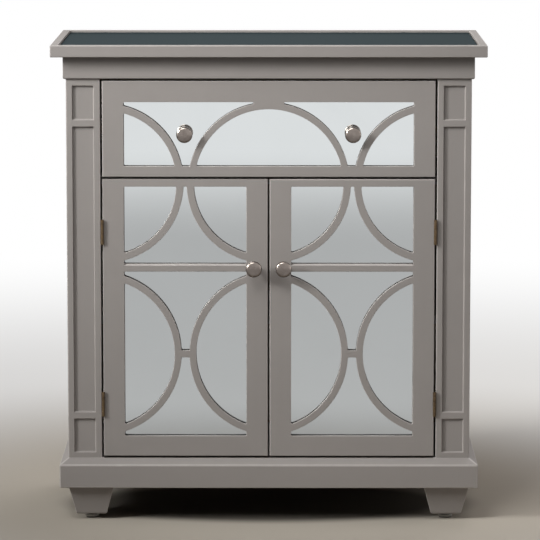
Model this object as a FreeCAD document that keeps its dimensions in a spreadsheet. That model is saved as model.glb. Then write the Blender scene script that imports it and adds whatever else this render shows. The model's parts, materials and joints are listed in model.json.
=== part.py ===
import FreeCAD, Part
import os
import re
import Sketcher
from FreeCAD import Placement, Rotation, Vector

os.makedirs("parts", exist_ok=True)
doc = FreeCAD.newDocument("chiffonier")

# A chiffonier: a carcass with one drawer over two doors, on four tapered feet.
# Frame: +X to the right, +Y to the back, +Z up, the front at -Y.
# Origin: on the floor, under the middle of the top board.

# Driving dimensions in millimetres.
sizes = {
    # overall
    "top_width": 800,
    "top_depth": 400,
    "total_height": 890,
    # top board, with a mirror let into it
    "top_thick": 22,
    "top_overhang": 27,  # past the carcass, in front and at the sides
    "top_arris": 1.2,
    "top_border": 14,  # the lip round the mirror
    "top_mirror_thick": 4,
    "top_mirror_sink": 1.5,
    "top_mirror_play": 0.5,
    # frieze: a frame of rails that carries the top board
    "frieze_height": 41.5,
    "frieze_thick": 20,
    "frieze_proud": 5,
    "frieze_round": 3,
    # carcass
    "side_thick": 15,
    "floor_thick": 18,
    "divider_thick": 15,
    "divider_drop": 1,  # below the drawer front's lower edge
    "divider_setback": 22,
    "back_thick": 4,
    "back_rebate": 7,
    "back_play": 0.5,
    "pin_radius": 0.8,  # panel pins in the back
    "pin_length": 14,
    "pin_end_margin": 40,
    "fit_play": 0.1,  # round a pin or screw in its hole
    # pilasters, each with three sunken panels
    "pilaster_width": 62.8,
    "pilaster_thick": 18,
    "sunk_width": 40,
    "sunk_depth": 4.5,
    "sunk_slope": 30,  # degrees, of a panel's sides
    "sunk_end_height": 63.5,
    "sunk_rail": 12.2,
    "sunk_foot_rail": 10,
    # plinth
    "plinth_height": 55,
    "plinth_thick": 16,
    "plinth_slope_height": 11.5,
    # feet
    "foot_height": 55,
    "foot_top_width": 84,
    "foot_base_width": 56,
    "foot_round": 5,
    "bolt_radius": 4,
    "bolt_in_foot": 28,
    "bolt_in_block": 34,
    "glide_height": 10,
    "glide_radius": 13,
    "glide_plate_radius": 11.5,
    "glide_plate_thick": 4,
    "glide_pin_radius": 3,
    "glide_pin_length": 12,
    # fronts: each a board with a fret cut through it and pockets behind the fret
    "front_thick": 20,
    "fret_thick": 7,
    "front_gap": 3,  # beside the drawer front and the doors
    "door_gap": 3,  # between the doors
    "drawer_top_gap": 3.4,
    "drawer_door_gap": 3.5,
    "door_floor_gap": 2,
    "drawer_front_height": 177.3,
    "stile_width": 40,
    "drawer_top_rail": 39.4,
    "drawer_bottom_rail": 19.5,
    "door_top_rail": 14.8,
    "door_bottom_rail": 39,
    "cutter_radius": 2,  # rounds the inner corners of the fret
    # drawer fret: a middle ring and a ring past each end
    "middle_ring_radius": 137,
    "middle_ring_band": 12,
    "middle_ring_drop": 31.6,  # centre below the window's lower edge
    "end_ring_radius": 130.5,
    "end_ring_band": 13,
    "end_ring_drop": 28.3,
    "end_ring_offset": 33.8,  # centre past the window's side
    # door fret: a cross bar, two rings above it and two below
    "bar_drop": 158.5,  # the bar's top below the door's top
    "bar_height": 14.4,
    "bar_bevel": 2.8,
    "upper_ring_radius": 133,
    "upper_ring_band": 13.3,
    "upper_ring_rise": 4.5,
    "upper_ring_offset": 36.5,
    "lower_ring_radius": 141,
    "lower_ring_band": 12.5,
    "lower_ring_offset": 48.1,
    "bridge_height": 12.8,
    # mirror and backing behind each fret
    "mirror_thick": 4,
    "mirror_gap": 2,  # between the fret and the mirror
    "mirror_play": 0.3,
    "relief_margin": 2,
    "mirror_margin": 5,
    "backing_margin": 9,
    "backing_thick": 6,
    # knobs
    "knob_radius": 15,
    "knob_length": 27,
    "knob_head_thick": 13,
    "knob_dome": 4,
    "knob_stem_radius": 5.5,
    "knob_base_radius": 8,
    "knob_base_thick": 3,
    "knob_round": 2.5,
    "drawer_knob_shift": 2.3,  # outwards from midway between two rings
    "door_knob_inset": 26,
    "knob_screw_radius": 2,
    "knob_screw_head_radius": 4,
    "knob_screw_head_thick": 2.4,
    "knob_screw_grip": 9,
    # hinges
    "hinge_height": 46,
    "hinge_inset": 99.2,  # a hinge's middle from the door's end
    "barrel_radius": 2.75,
    "barrel_play": 0.35,
    "knuckle_play": 0.25,
    "hinge_pin_radius": 1.25,
    "leaf_thick": 1.2,
    "leaf_depth": 16,
    "hinge_screw_pitch": 15,
    "hinge_screw_setback": 8.5,
    "hinge_screw_radius": 1.4,
    "hinge_screw_head_radius": 2.6,
    "hinge_screw_length": 13,
    # drawer box
    "box_lift": 14.2,  # above the drawer front's lower edge
    "box_height": 140,
    "box_back_gap": 26,  # between the drawer box and the back panel
    "box_side_thick": 15,
    "box_end_thick": 15,
    "box_bottom_thick": 6,
    "box_bottom_lift": 8,
    "box_bottom_tongue": 6,
    "box_play": 0.2,
    "box_screw_radius": 1.8,
    "box_screw_head_radius": 3.6,
    "box_screw_length": 30,
    "box_screw_inset": 7.5,  # from the end of the box front
    "box_screw_margin": 32,  # from the box's upper and lower edge
    # runners
    "runner_height": 12,
    "runner_reach": 6.5,  # into the groove of the drawer side
    "runner_play": 0.3,
    "runner_setback": 33,
    "packer_height": 40,
    # shelf
    "shelf_thick": 16,
    "shelf_level": 247,
    "shelf_play": 1,
    "shelf_setback": 33,
    "shelf_back_gap": 6,
    "shelf_pin_radius": 2.5,
    "shelf_pin_length": 16,
    "shelf_pin_sunk": 8,
    "shelf_pin_inset": 45,
    "shelf_pin_pitch": 32,
    # magnetic catches
    "catch_width": 26,
    "catch_depth": 18,
    "catch_height": 14,
    "catch_inset": 6,
    "strike_width": 22,
    "strike_height": 12,
    "strike_thick": 1,
    "strike_play": 0.5,
}

# Levels and planes that follow from the driving dimensions.
places = {
    "case_half": "top_width / 2 - top_overhang",
    "face_y": "top_overhang - top_depth / 2",
    "back_y": "top_depth / 2",
    "foot_z": "glide_height",
    "plinth_z": "foot_z + foot_height",
    "case_z": "plinth_z + plinth_height",
    "top_z": "total_height - top_thick",
    "frieze_z": "top_z - frieze_height",
    "frieze_y": "face_y - frieze_proud",
    "frieze_half": "case_half + frieze_proud",
    "inner_half": "case_half - side_thick",
    "opening_half": "case_half - pilaster_width",
    "front_half": "opening_half - front_gap",
    "pilaster_y": "face_y + pilaster_thick",
    "back_face_y": "back_y - back_thick",
    "mirror_recess": "top_mirror_thick + top_mirror_sink",
    # planes inside the thickness of a front
    "fret_y": "face_y + fret_thick",
    "mirror_y": "fret_y + mirror_gap",
    "backing_y": "mirror_y + mirror_thick",
    "rear_y": "face_y + front_thick",
    # drawer front and its window
    "drawer_top_z": "frieze_z - drawer_top_gap",
    "drawer_z": "drawer_top_z - drawer_front_height",
    "drawer_window_half": "front_half - stile_width",
    "drawer_window_z": "drawer_z + drawer_bottom_rail",
    "drawer_window_top": "drawer_top_z - drawer_top_rail",
    "drawer_knob_z": "(drawer_window_z + drawer_window_top) / 2",
    # drawer rings: their centres, and their half widths at the level of the knobs
    "middle_ring_z": "drawer_window_z - middle_ring_drop",
    "middle_ring_rim": "middle_ring_radius + middle_ring_band",
    "middle_ring_half": "sqrt(middle_ring_rim^2 - (drawer_knob_z - middle_ring_z)^2)",
    "end_ring_x": "drawer_window_half + end_ring_offset",
    "end_ring_z": "drawer_window_z - end_ring_drop",
    "end_ring_rim": "end_ring_radius + end_ring_band",
    "end_ring_half": "sqrt(end_ring_rim^2 - (drawer_knob_z - end_ring_z)^2)",
    "drawer_knob_x": "(middle_ring_half + end_ring_x - end_ring_half) / 2 + drawer_knob_shift",
    # right door and its window
    "door_x": "door_gap / 2",
    "door_z": "case_z + door_floor_gap",
    "door_top_z": "drawer_z - drawer_door_gap",
    "window_x": "door_x + stile_width",
    "window_end_x": "front_half - stile_width",
    "window_z": "door_z + door_bottom_rail",
    "window_top_z": "door_top_z - door_top_rail",
    "bar_top_z": "door_top_z - bar_drop",
    "bar_z": "bar_top_z - bar_height",
    "door_knob_x": "door_x + door_knob_inset",
    "door_knob_z": "(bar_z + bar_top_z) / 2",
    # divider, catches
    "divider_top_z": "drawer_z - divider_drop",
    "divider_z": "divider_top_z - divider_thick",
    "divider_y": "face_y + divider_setback",
    "catch_z": "divider_z - catch_height",
    "catch_y": "rear_y + strike_thick + strike_play",
    "catch_middle_x": "catch_inset + catch_width / 2",
    # hinges
    "axis_x": "opening_half - barrel_radius",
    "axis_y": "face_y - barrel_radius - barrel_play",
    "low_hinge_z": "door_z + hinge_inset",
    "high_hinge_z": "door_top_z - hinge_inset",
    "hinge_screw_y": "face_y + hinge_screw_setback",
    # feet
    "foot_x": "case_half - foot_top_width / 2",
    "front_foot_y": "face_y + foot_top_width / 2",
    "back_foot_y": "back_y - foot_top_width / 2",
    # drawer box and runners
    "box_z": "drawer_z + box_lift",
    "box_top_z": "box_z + box_height",
    "box_end_y": "back_face_y - box_back_gap",
    "box_inner_half": "front_half - box_side_thick",
    "box_bottom_z": "box_z + box_bottom_lift",
    "runner_z": "(box_z + box_top_z - runner_height) / 2",
    "runner_y": "face_y + runner_setback",
    "runner_x": "front_half - runner_reach",
    # shelf
    "shelf_z": "case_z + shelf_level",
    "shelf_y": "face_y + shelf_setback",
    "shelf_end_y": "back_face_y - shelf_back_gap",
    "shelf_half": "inner_half - shelf_play",
    "shelf_pin_z": "shelf_z - shelf_pin_radius",
    "front_pin_y": "shelf_y + shelf_pin_inset",
    "back_pin_y": "shelf_end_y - shelf_pin_inset",
}

# Counts of what repeats.
back_pin_count = 5
shelf_hole_count = 3
knuckle_count = 5

sketch_start = Vector(10, 0, 0)
edge_tolerance = 0.01
turns = {
    "X": Rotation(Vector(0, 1, 0), 90),
    "Y": Rotation(Vector(1, 0, 0), -90),
    "Z": Rotation(),
}
nodes = []


# A formula names cells by their alias alone, and gets each alias' sheet in front.
def formula(text, own=None):
    def in_sheet(match):
        word = match.group()
        if word in sizes:
            return "dim." + word
        if word in places and own != "place":
            return "place." + word
        return word

    return re.sub(r"[a-z][a-z_]*", in_sheet, text)


def fill_sheet(name, cells):
    sheet = doc.addObject("Spreadsheet::Sheet", name)
    for row, (alias, content) in enumerate(cells.items(), 1):
        sheet.set(f"A{row}", alias)
        sheet.set(f"B{row}", content)
        sheet.setAlias(f"B{row}", alias)
    return sheet


dim = fill_sheet("dim", {alias: str(size) for alias, size in sizes.items()})
place = fill_sheet("place", {alias: "=" + formula(text, "place") for alias, text in places.items()})
doc.recompute()


def bind(target, **formulas):
    for name, text in formulas.items():
        target.setExpression(name, formula(text))


def move_to(target, x="0", y="0", z="0"):
    for axis, text in (("x", x), ("y", y), ("z", z)):
        if text != "0":
            target.setExpression("Placement.Base." + axis, formula(text))


def minus(text):
    return f"-({text})"


def span(ends):
    return f"({ends[1]}) - ({ends[0]})"


# A box between two formulas along each axis.
def box(name, x, y, z):
    piece = doc.addObject("Part::Box", name)
    bind(piece, Length=span(x), Width=span(y), Height=span(z))
    move_to(piece, x[0], y[0], z[0])
    return piece


# A round rod along an axis, from a start point.
def rod(name, axis, radius, length, start):
    piece = doc.addObject("Part::Cylinder", name)
    bind(piece, Radius=radius, Height=length)
    piece.Placement = Placement(Vector(), turns[axis])
    move_to(piece, *start)
    return piece


def cut(name, base, *tools):
    piece = base
    for index, tool in enumerate(tools, 1):
        last = index == len(tools)
        result = doc.addObject("Part::Cut", name if last else f"{name}_cut_{index}")
        result.Base = piece
        result.Tool = tool
        piece = result
    return piece


def fuse(name, *pieces):
    result = doc.addObject("Part::MultiFuse", name)
    result.Shapes = list(pieces)
    result.Refine = True
    return result


def compound(name, pieces):
    result = doc.addObject("Part::Compound", name)
    result.Links = list(pieces)
    return result


# The same piece on the other side of the object.
def mirror(name, source):
    result = doc.addObject("Part::Mirroring", name)
    result.Source = source
    result.Normal = Vector(1, 0, 0)
    return result


# Copies of one piece, each turned the same way, at places given by formulas.
def copies(name, source, places_list, turn=Rotation()):
    links = []
    for index, spot in enumerate(places_list, 1):
        link = doc.addObject("App::Link", f"{name}_{index}")
        link.LinkedObject = source
        link.LinkTransform = False
        link.Placement = Placement(Vector(), turn)
        move_to(link, *spot)
        links.append(link)
    return compound(name, links)


def node(piece, label):
    piece.Label = label
    nodes.append(piece)


def node_pair(right_piece, pattern):
    node(right_piece, pattern.format("right"))
    node(mirror("mirrored_" + right_piece.Name, right_piece), pattern.format("left"))


def new_body(name):
    return doc.addObject("PartDesign::Body", name)


def new_sketch(body, name, role, height="0"):
    sketch = body.newObject("Sketcher::SketchObject", name)
    plane = next(item for item in body.Origin.OriginFeatures if item.Role == role)
    sketch.AttachmentSupport = (plane, "")
    sketch.MapMode = "FlatFace"
    sketch.setExpression("AttachmentOffset.Base.z", formula(height))
    return sketch


# A closed polygon whose corners are held by formulas. It starts as a small regular one,
# and the constraints bring the corners to their places.
def polygon(sketch, corners):
    first = sketch.GeometryCount
    count = len(corners)
    start = [Rotation(Vector(0, 0, 1), 360 * index / count).multVec(sketch_start)
             for index in range(count)]
    for index in range(count):
        sketch.addGeometry(Part.LineSegment(start[index], start[(index + 1) % count]))
    for index, corner in enumerate(corners):
        after = first + (index + 1) % count
        sketch.addConstraint(Sketcher.Constraint("Coincident", first + index, 2, after, 1))
        guesses = (start[index].x, start[index].y)
        for kind, text, guess in zip(("DistanceX", "DistanceY"), corner, guesses):
            number = sketch.addConstraint(Sketcher.Constraint(kind, -1, 1, first + index, 1, guess))
            sketch.setExpression(f"Constraints[{number}]", formula(text))


def rectangle(sketch, across, up):
    polygon(sketch, [(across[0], up[0]), (across[1], up[0]), (across[1], up[1]), (across[0], up[1])])


def circle(sketch, radius, across, up):
    number = sketch.addGeometry(Part.Circle(Vector(1, 1, 0), Vector(0, 0, 1), 1))
    limits = [
        (Sketcher.Constraint("Radius", number, 1), radius),
        (Sketcher.Constraint("DistanceX", -1, 1, number, 3, 1), across),
        (Sketcher.Constraint("DistanceY", -1, 1, number, 3, 1), up),
    ]
    for constraint, text in limits:
        index = sketch.addConstraint(constraint)
        sketch.setExpression(f"Constraints[{index}]", formula(text))


def feature(body, kind, name, sketch, **formulas):
    result = body.newObject("PartDesign::" + kind, name)
    result.Profile = sketch
    bind(result, **formulas)
    return result


def turned(body, sketch, name):
    result = body.newObject("PartDesign::Revolution", name)
    result.Profile = sketch
    result.ReferenceAxis = (sketch, ["V_Axis"])
    result.Angle = 360
    return result


# Dresses the edges of a body's last feature whose midpoints pass a test.
def dress(body, kind, name, size, test):
    doc.recompute()
    base = body.Tip
    chosen = []
    for number, edge in enumerate(base.Shape.Edges, 1):
        middle = edge.valueAt((edge.FirstParameter + edge.LastParameter) / 2)
        if test(middle):
            chosen.append(f"Edge{number}")
    result = body.newObject("PartDesign::" + kind, name)
    result.Base = (base, chosen)
    bind(result, **size)


def near(value, target):
    return abs(value - target) < edge_tolerance


# ---------------------------------------------------------------- top and frieze

def make_top():
    body = new_body("top_board")
    outline = new_sketch(body, "top_outline", "XY_Plane", "top_z")
    rectangle(outline, ("-top_width / 2", "top_width / 2"), ("-top_depth / 2", "top_depth / 2"))
    feature(body, "Pad", "top_pad", outline, Length="top_thick")
    dress(body, "Chamfer", "top_arrises", {"Size": "top_arris"}, lambda middle: True)
    recess = new_sketch(body, "top_recess_outline", "XY_Plane", "total_height")
    half_width = "top_width / 2 - top_border"
    half_depth = "top_depth / 2 - top_border"
    rectangle(recess, (minus(half_width), half_width), (minus(half_depth), half_depth))
    feature(body, "Pocket", "top_recess", recess, Length="mirror_recess")
    node(body, "top_board")

    glass_x = half_width + " - top_mirror_play"
    glass_y = half_depth + " - top_mirror_play"
    glass_z = "total_height - mirror_recess"
    glass = box("top_mirror", (minus(glass_x), glass_x), (minus(glass_y), glass_y),
                (glass_z, glass_z + " + top_mirror_thick"))
    node(glass, "top_mirror")


# A frieze rail with its lower outer edges rounded.
def frieze_rail(label, across, along, is_outer):
    body = new_body(label)
    outline = new_sketch(body, label + "_outline", "XY_Plane", "frieze_z")
    rectangle(outline, across, along)
    feature(body, "Pad", label + "_pad", outline, Length="frieze_height")
    dress(body, "Fillet", label + "_round", {"Radius": "frieze_round"},
          lambda middle: near(middle.z, place.frieze_z) and is_outer(middle))
    return body


def make_frieze():
    rail_back_y = "frieze_y + frieze_thick"
    rail_inner = "frieze_half - frieze_thick"
    front = frieze_rail(
        "frieze_front", ("-frieze_half", "frieze_half"), ("frieze_y", rail_back_y),
        lambda middle: not near(middle.y, place.frieze_y + dim.frieze_thick))
    node(front, "frieze_front")
    side = frieze_rail(
        "frieze_side", (rail_inner, "frieze_half"), (rail_back_y, "back_y"),
        lambda middle: near(middle.x, place.frieze_half))
    node_pair(side, "frieze_{}")
    back = box("frieze_back", (minus(rail_inner), rail_inner), ("back_y - frieze_thick", "back_y"),
               ("frieze_z", "top_z"))
    node(back, "frieze_back")


# ---------------------------------------------------------------- carcass

def make_pilasters(screw_holes):
    body = new_body("pilaster")
    outline = new_sketch(body, "pilaster_outline", "XY_Plane", "case_z")
    rectangle(outline, ("opening_half", "case_half"), ("face_y", "pilaster_y"))
    feature(body, "Pad", "pilaster_pad", outline, Length="frieze_z - case_z")
    middle = "(opening_half + case_half) / 2"
    across = (middle + " - sunk_width / 2", middle + " + sunk_width / 2")
    low = "case_z + sunk_foot_rail"
    high = "frieze_z - sunk_rail"
    panels = {
        "low": (low, low + " + sunk_end_height"),
        "tall": (low + " + sunk_end_height + sunk_rail", high + " - sunk_end_height - sunk_rail"),
        "high": (high + " - sunk_end_height", high),
    }
    for name, up in panels.items():
        opening = new_sketch(body, f"sunk_{name}_outline", "XZ_Plane", "-face_y")
        rectangle(opening, across, up)
        feature(body, "Pocket", f"sunk_{name}", opening, Length="sunk_depth", TaperAngle="-sunk_slope")
    node_pair(cut("pilaster_drilled", body, screw_holes), "pilaster_{}")


def make_side_panels():
    body = new_body("side_panel")
    outline = new_sketch(body, "side_outline", "XY_Plane", "case_z")
    rectangle(outline, ("inner_half", "case_half"), ("pilaster_y", "back_y"))
    feature(body, "Pad", "side_pad", outline, Length="frieze_z - case_z")
    rebate = new_sketch(body, "rebate_outline", "XY_Plane", "case_z")
    rectangle(rebate, ("inner_half", "inner_half + back_rebate"), ("back_face_y", "back_y"))
    feature(body, "Pocket", "side_rebate", rebate, Length="frieze_z - case_z").Reversed = True
    holes = new_sketch(body, "shelf_pin_holes", "YZ_Plane", "inner_half")
    for along in ("front_pin_y", "back_pin_y"):
        circle(holes, "shelf_pin_radius + fit_play", along, "shelf_pin_z - shelf_pin_pitch")
    bore = feature(body, "Pocket", "shelf_pin_bore", holes, Length="shelf_pin_sunk + fit_play")
    bore.Reversed = True
    doc.recompute()
    row = body.newObject("PartDesign::LinearPattern", "shelf_pin_rows")
    row.Originals = [bore]
    row.Direction = (holes, ["V_Axis"])
    row.Mode = "Spacing"
    row.Occurrences = shelf_hole_count
    bind(row, Offset="shelf_pin_pitch")
    body.Tip = row
    pin_holes = rod_row("back_pin_hole", "pin_radius + fit_play", "pin_length + fit_play")
    node_pair(cut("side_panel_drilled", body, pin_holes), "side_panel_{}")


# Rods for the panel pins up one side of the back, or the holes that they stand in.
def rod_row(name, radius, length):
    across = "inner_half + back_rebate / 2"
    rods = []
    for index in range(back_pin_count):
        share = index / (back_pin_count - 1)
        up = f"case_z + pin_end_margin + {share} * (frieze_z - case_z - 2 * pin_end_margin)"
        start = (across, f"back_y - ({length})", up)
        rods.append(rod(f"{name}_{index + 1}", "Y", radius, length, start))
    return compound(name + "s", rods)


def make_back():
    half = "inner_half + back_rebate - back_play"
    panel = box("back_board", (minus(half), half), ("back_face_y", "back_y"),
                ("case_z", "frieze_z - back_play"))
    holes = rod_row("panel_hole", "pin_radius + fit_play", "back_thick + fit_play")
    other_holes = mirror("panel_holes_left", holes)
    node(cut("back_panel", panel, holes, other_holes), "back_panel")
    pins = rod_row("back_pin", "pin_radius", "pin_length")
    node(compound("back_panel_pins", [pins, mirror("back_pins_left", pins)]), "back_panel_pins")


def make_boards():
    floor = box("bottom_panel", ("-case_half", "case_half"), ("face_y", "back_y"),
                ("case_z - floor_thick", "case_z"))
    node(floor, "bottom_panel")
    divider = box("drawer_divider", ("-inner_half", "inner_half"),
                  ("divider_y", "back_face_y - back_play"), ("divider_z", "divider_top_z"))
    node(divider, "drawer_divider")
    shelf = box("shelf", ("-shelf_half", "shelf_half"), ("shelf_y", "shelf_end_y"),
                ("shelf_z", "shelf_z + shelf_thick"))
    node(shelf, "shelf")


def make_shelf_pins():
    start_x = "inner_half + shelf_pin_sunk - shelf_pin_length"
    right = [
        rod(f"shelf_pin_{index}", "X", "shelf_pin_radius", "shelf_pin_length",
            (start_x, along, "shelf_pin_z"))
        for index, along in enumerate(("front_pin_y", "back_pin_y"), 1)
    ]
    right_pair = compound("shelf_pins_right", right)
    node(compound("shelf_pins", [right_pair, mirror("shelf_pins_left", right_pair)]), "shelf_pins")


# ---------------------------------------------------------------- plinth and feet

# A plinth board along X with its outer face at -Y and a sloped top edge.
# Its ends are mitred where asked for.
def plinth_board(name, start, end, mitred):
    body = new_body(name)
    profile = new_sketch(body, name + "_profile", "YZ_Plane", start)
    polygon(profile, [
        ("0", "plinth_z"),
        ("0", "case_z"),
        ("-plinth_thick", "case_z - plinth_slope_height"),
        ("-plinth_thick", "plinth_z"),
    ])
    feature(body, "Pad", name + "_pad", profile, Length=span((start, end)))
    mitres = new_sketch(body, name + "_mitres", "XY_Plane", "case_z")
    for tip, sign in mitred:
        polygon(mitres, [
            (tip, "-plinth_thick"),
            (tip, "0"),
            (f"{tip} - {sign} * plinth_thick", "0"),
        ])
    feature(body, "Pocket", name + "_mitre_cut", mitres, Length="plinth_height")
    return body


def make_plinth():
    half = "case_half + plinth_thick"
    front = plinth_board("plinth_front", minus(half), half, [(half, 1), (minus(half), -1)])
    move_to(front, y="face_y")
    node(front, "plinth_front")
    side = plinth_board("plinth_side", "face_y - plinth_thick", "back_y",
                        [("face_y - plinth_thick", -1)])
    side.Placement = Placement(Vector(), Rotation(Vector(0, 0, 1), 90))
    move_to(side, x="case_half")
    node_pair(side, "plinth_{}")
    back = box("plinth_back", ("-case_half", "case_half"), ("back_y - plinth_thick", "back_y"),
               ("plinth_z", "case_z - floor_thick"))
    node(back, "plinth_back")


# One tapered foot about the vertical through its bolt, bored for the bolt and the glide's pin.
def foot_body():
    body = new_body("foot")
    base = new_sketch(body, "foot_base", "XY_Plane", "foot_z")
    half = ("-foot_base_width / 2", "foot_base_width / 2")
    rectangle(base, half, half)
    feature(body, "Pad", "foot_pad", base, Length="foot_height",
            TaperAngle="atan((foot_top_width - foot_base_width) / 2 / foot_height)")
    dress(body, "Fillet", "foot_rounds", {"Radius": "foot_round"},
          lambda middle: near(middle.z, place.foot_z))
    bolt = new_sketch(body, "foot_bolt_hole", "XY_Plane", "plinth_z")
    circle(bolt, "bolt_radius + fit_play", "0", "0")
    feature(body, "Pocket", "foot_bolt_bore", bolt, Length="bolt_in_foot + fit_play")
    pin = new_sketch(body, "glide_pin_hole", "XY_Plane", "foot_z")
    circle(pin, "glide_pin_radius + fit_play", "0", "0")
    feature(body, "Pocket", "glide_pin_bore", pin, Length="glide_pin_length + fit_play").Reversed = True
    return body


def glide_body():
    body = new_body("glide")
    profile = new_sketch(body, "glide_profile", "XZ_Plane")
    plate_z = "glide_height - glide_plate_thick"
    polygon(profile, [
        ("0", "0"),
        ("glide_radius", "0"),
        ("glide_radius", plate_z),
        ("glide_plate_radius", plate_z),
        ("glide_plate_radius", "glide_height"),
        ("glide_pin_radius", "glide_height"),
        ("glide_pin_radius", "glide_height + glide_pin_length"),
        ("0", "glide_height + glide_pin_length"),
    ])
    turned(body, profile, "glide_turned")
    return body


def make_feet():
    foot = foot_body()
    corners = {
        "front_left": ("-foot_x", "front_foot_y"),
        "front_right": ("foot_x", "front_foot_y"),
        "back_left": ("-foot_x", "back_foot_y"),
        "back_right": ("foot_x", "back_foot_y"),
    }
    for name, spot in corners.items():
        node(copies("foot_" + name, foot, [spot]), "foot_" + name)
    spots = list(corners.values())
    node(copies("foot_glides", glide_body(), spots), "foot_glides")

    bolt_start = "plinth_z - bolt_in_foot"
    bolt = rod("bolt", "Z", "bolt_radius", "bolt_in_foot + bolt_in_block", ("0", "0", bolt_start))
    bolt_spots = [(across, along, bolt_start) for across, along in spots]
    node(copies("foot_bolts", bolt, bolt_spots), "foot_bolts")
    make_corner_blocks()


# Corner blocks stand on the feet inside the plinth, under the bottom panel.
def make_corner_blocks():
    across = ("case_half - foot_top_width", "case_half")
    up = ("plinth_z", "case_z - floor_thick")
    back_board = "back_y - plinth_thick"
    rows = {
        "front": (("face_y", "face_y + foot_top_width"), "front_foot_y"),
        "back": ((back_board + " - foot_top_width", back_board), "back_foot_y"),
    }
    right = []
    for name, (along, bolt_y) in rows.items():
        block = box(f"{name}_block", across, along, up)
        hole = rod(f"{name}_block_hole", "Z", "bolt_radius + fit_play", "bolt_in_block + fit_play",
                   ("foot_x", bolt_y, "plinth_z"))
        right.append(cut(f"{name}_block_bored", block, hole))
    pair = compound("corner_blocks_right", right)
    node(compound("corner_blocks", [pair, mirror("corner_blocks_left", pair)]), "foot_corner_blocks")


# ---------------------------------------------------------------- frets and their backs

def flat_face(x_start, x_end, z_start, z_end):
    corners = [(x_start, z_start), (x_end, z_start), (x_end, z_end), (x_start, z_end)]
    points = [Vector(x, 0, z) for x, z in corners + corners[:1]]
    return Part.Face(Part.makePolygon(points))


def flat_disc(x, z, radius):
    return Part.Face(Part.Wire(Part.makeCircle(radius, Vector(x, 0, z), Vector(0, -1, 0))))


# The openings of a fret: where a round cutter reaches in the window without touching the rings
# or bars. The cutter's centre stays one radius clear of them all, and its edge sweeps the opening.
def fret_openings(name, window, rings, bars):
    cutter = dim.cutter_radius
    x_start, x_end, z_start, z_end = window
    reach = flat_face(x_start + cutter, x_end - cutter, z_start + cutter, z_end - cutter)
    for x, z, radius, band in rings:
        reach = reach.cut(flat_disc(x, z, radius + band + cutter).cut(flat_disc(x, z, radius - cutter)))
    for left, right, low, high in bars:
        reach = reach.cut(flat_face(left, right, low - cutter, high + cutter))
    swept = [face.makeOffset2D(cutter) for face in reach.Faces]
    depth = Vector(0, place.fret_y - place.face_y, 0)
    openings = doc.addObject("Part::Feature", name)
    openings.Shape = Part.Compound([face.extrude(depth) for face in swept])
    openings.Placement = Placement(Vector(0, place.face_y, 0), Rotation())
    return openings


# Stepped pocket behind a fret: a relief, a seat for the mirror and a seat for the backing.
def back_pockets(name, across, up):
    steps = {
        "relief": ("relief_margin", "fret_y", "mirror_y"),
        "seat": ("mirror_margin", "mirror_y", "backing_y"),
        "recess": ("backing_margin", "backing_y", "rear_y"),
    }
    pockets = []
    for step, (margin, start, end) in steps.items():
        pocket = box(f"{name}_{step}", (f"{across[0]} - {margin}", f"{across[1]} + {margin}"), (start, end),
                     (f"{up[0]} - {margin}", f"{up[1]} + {margin}"))
        pockets.append(pocket)
    return pockets


def panel_behind(name, across, up, margin, start, thick):
    inset = f"{margin} - mirror_play"
    return box(name, (f"{across[0]} - ({inset})", f"{across[1]} + ({inset})"), (start, f"{start} + {thick}"),
               (f"{up[0]} - ({inset})", f"{up[1]} + ({inset})"))


# ---------------------------------------------------------------- knobs and screws

# A mushroom knob on -Y, from its base at y = 0.
def knob_body():
    body = new_body("knob")
    profile = new_sketch(body, "knob_profile", "XY_Plane")
    rim_y = "-knob_length + knob_dome"
    neck_y = "-knob_length + knob_head_thick"
    polygon(profile, [
        ("knob_screw_radius + fit_play", "0"),
        ("knob_base_radius", "0"),
        ("knob_base_radius", "-knob_base_thick"),
        ("knob_stem_radius", "-knob_base_thick - knob_round"),
        ("knob_stem_radius", neck_y + " + knob_round"),
        ("knob_radius - knob_round", neck_y),
        ("knob_radius", neck_y + " - knob_round"),
        ("knob_radius", rim_y + " + knob_round"),
        ("knob_radius - knob_round", rim_y),
        ("knob_radius / 2", "-knob_length"),
        ("0", "-knob_length"),
        ("0", "-knob_screw_grip - fit_play"),
        ("knob_screw_radius + fit_play", "-knob_screw_grip - fit_play"),
    ])
    turned(body, profile, "knob_turned")
    return body


# A screw along -Y with its round head behind y = 0 and its shank in front.
def pan_screw(name, length):
    body = new_body(name)
    profile = new_sketch(body, name + "_profile", "XY_Plane")
    polygon(profile, [
        ("0", "knob_screw_head_thick"),
        ("knob_screw_head_radius", "knob_screw_head_thick"),
        ("knob_screw_head_radius", "0"),
        ("knob_screw_radius", "0"),
        ("knob_screw_radius", minus(length)),
        ("0", minus(length)),
    ])
    turned(body, profile, name + "_turned")
    return body


# A countersunk screw along -Z with its head's face at z = 0, or the hole that it fits.
def sunk_screw(name, head_radius, radius, length, play="0"):
    body = new_body(name)
    profile = new_sketch(body, name + "_profile", "XZ_Plane")
    polygon(profile, [
        ("0", "0"),
        (f"{head_radius} + {play}", "0"),
        (f"{radius} + {play}", f"{radius} - {head_radius}"),
        (f"{radius} + {play}", f"-{length} - {play}"),
        ("0", f"-{length} - {play}"),
    ])
    turned(body, profile, name + "_turned")
    return body


# ---------------------------------------------------------------- hinges

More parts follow.
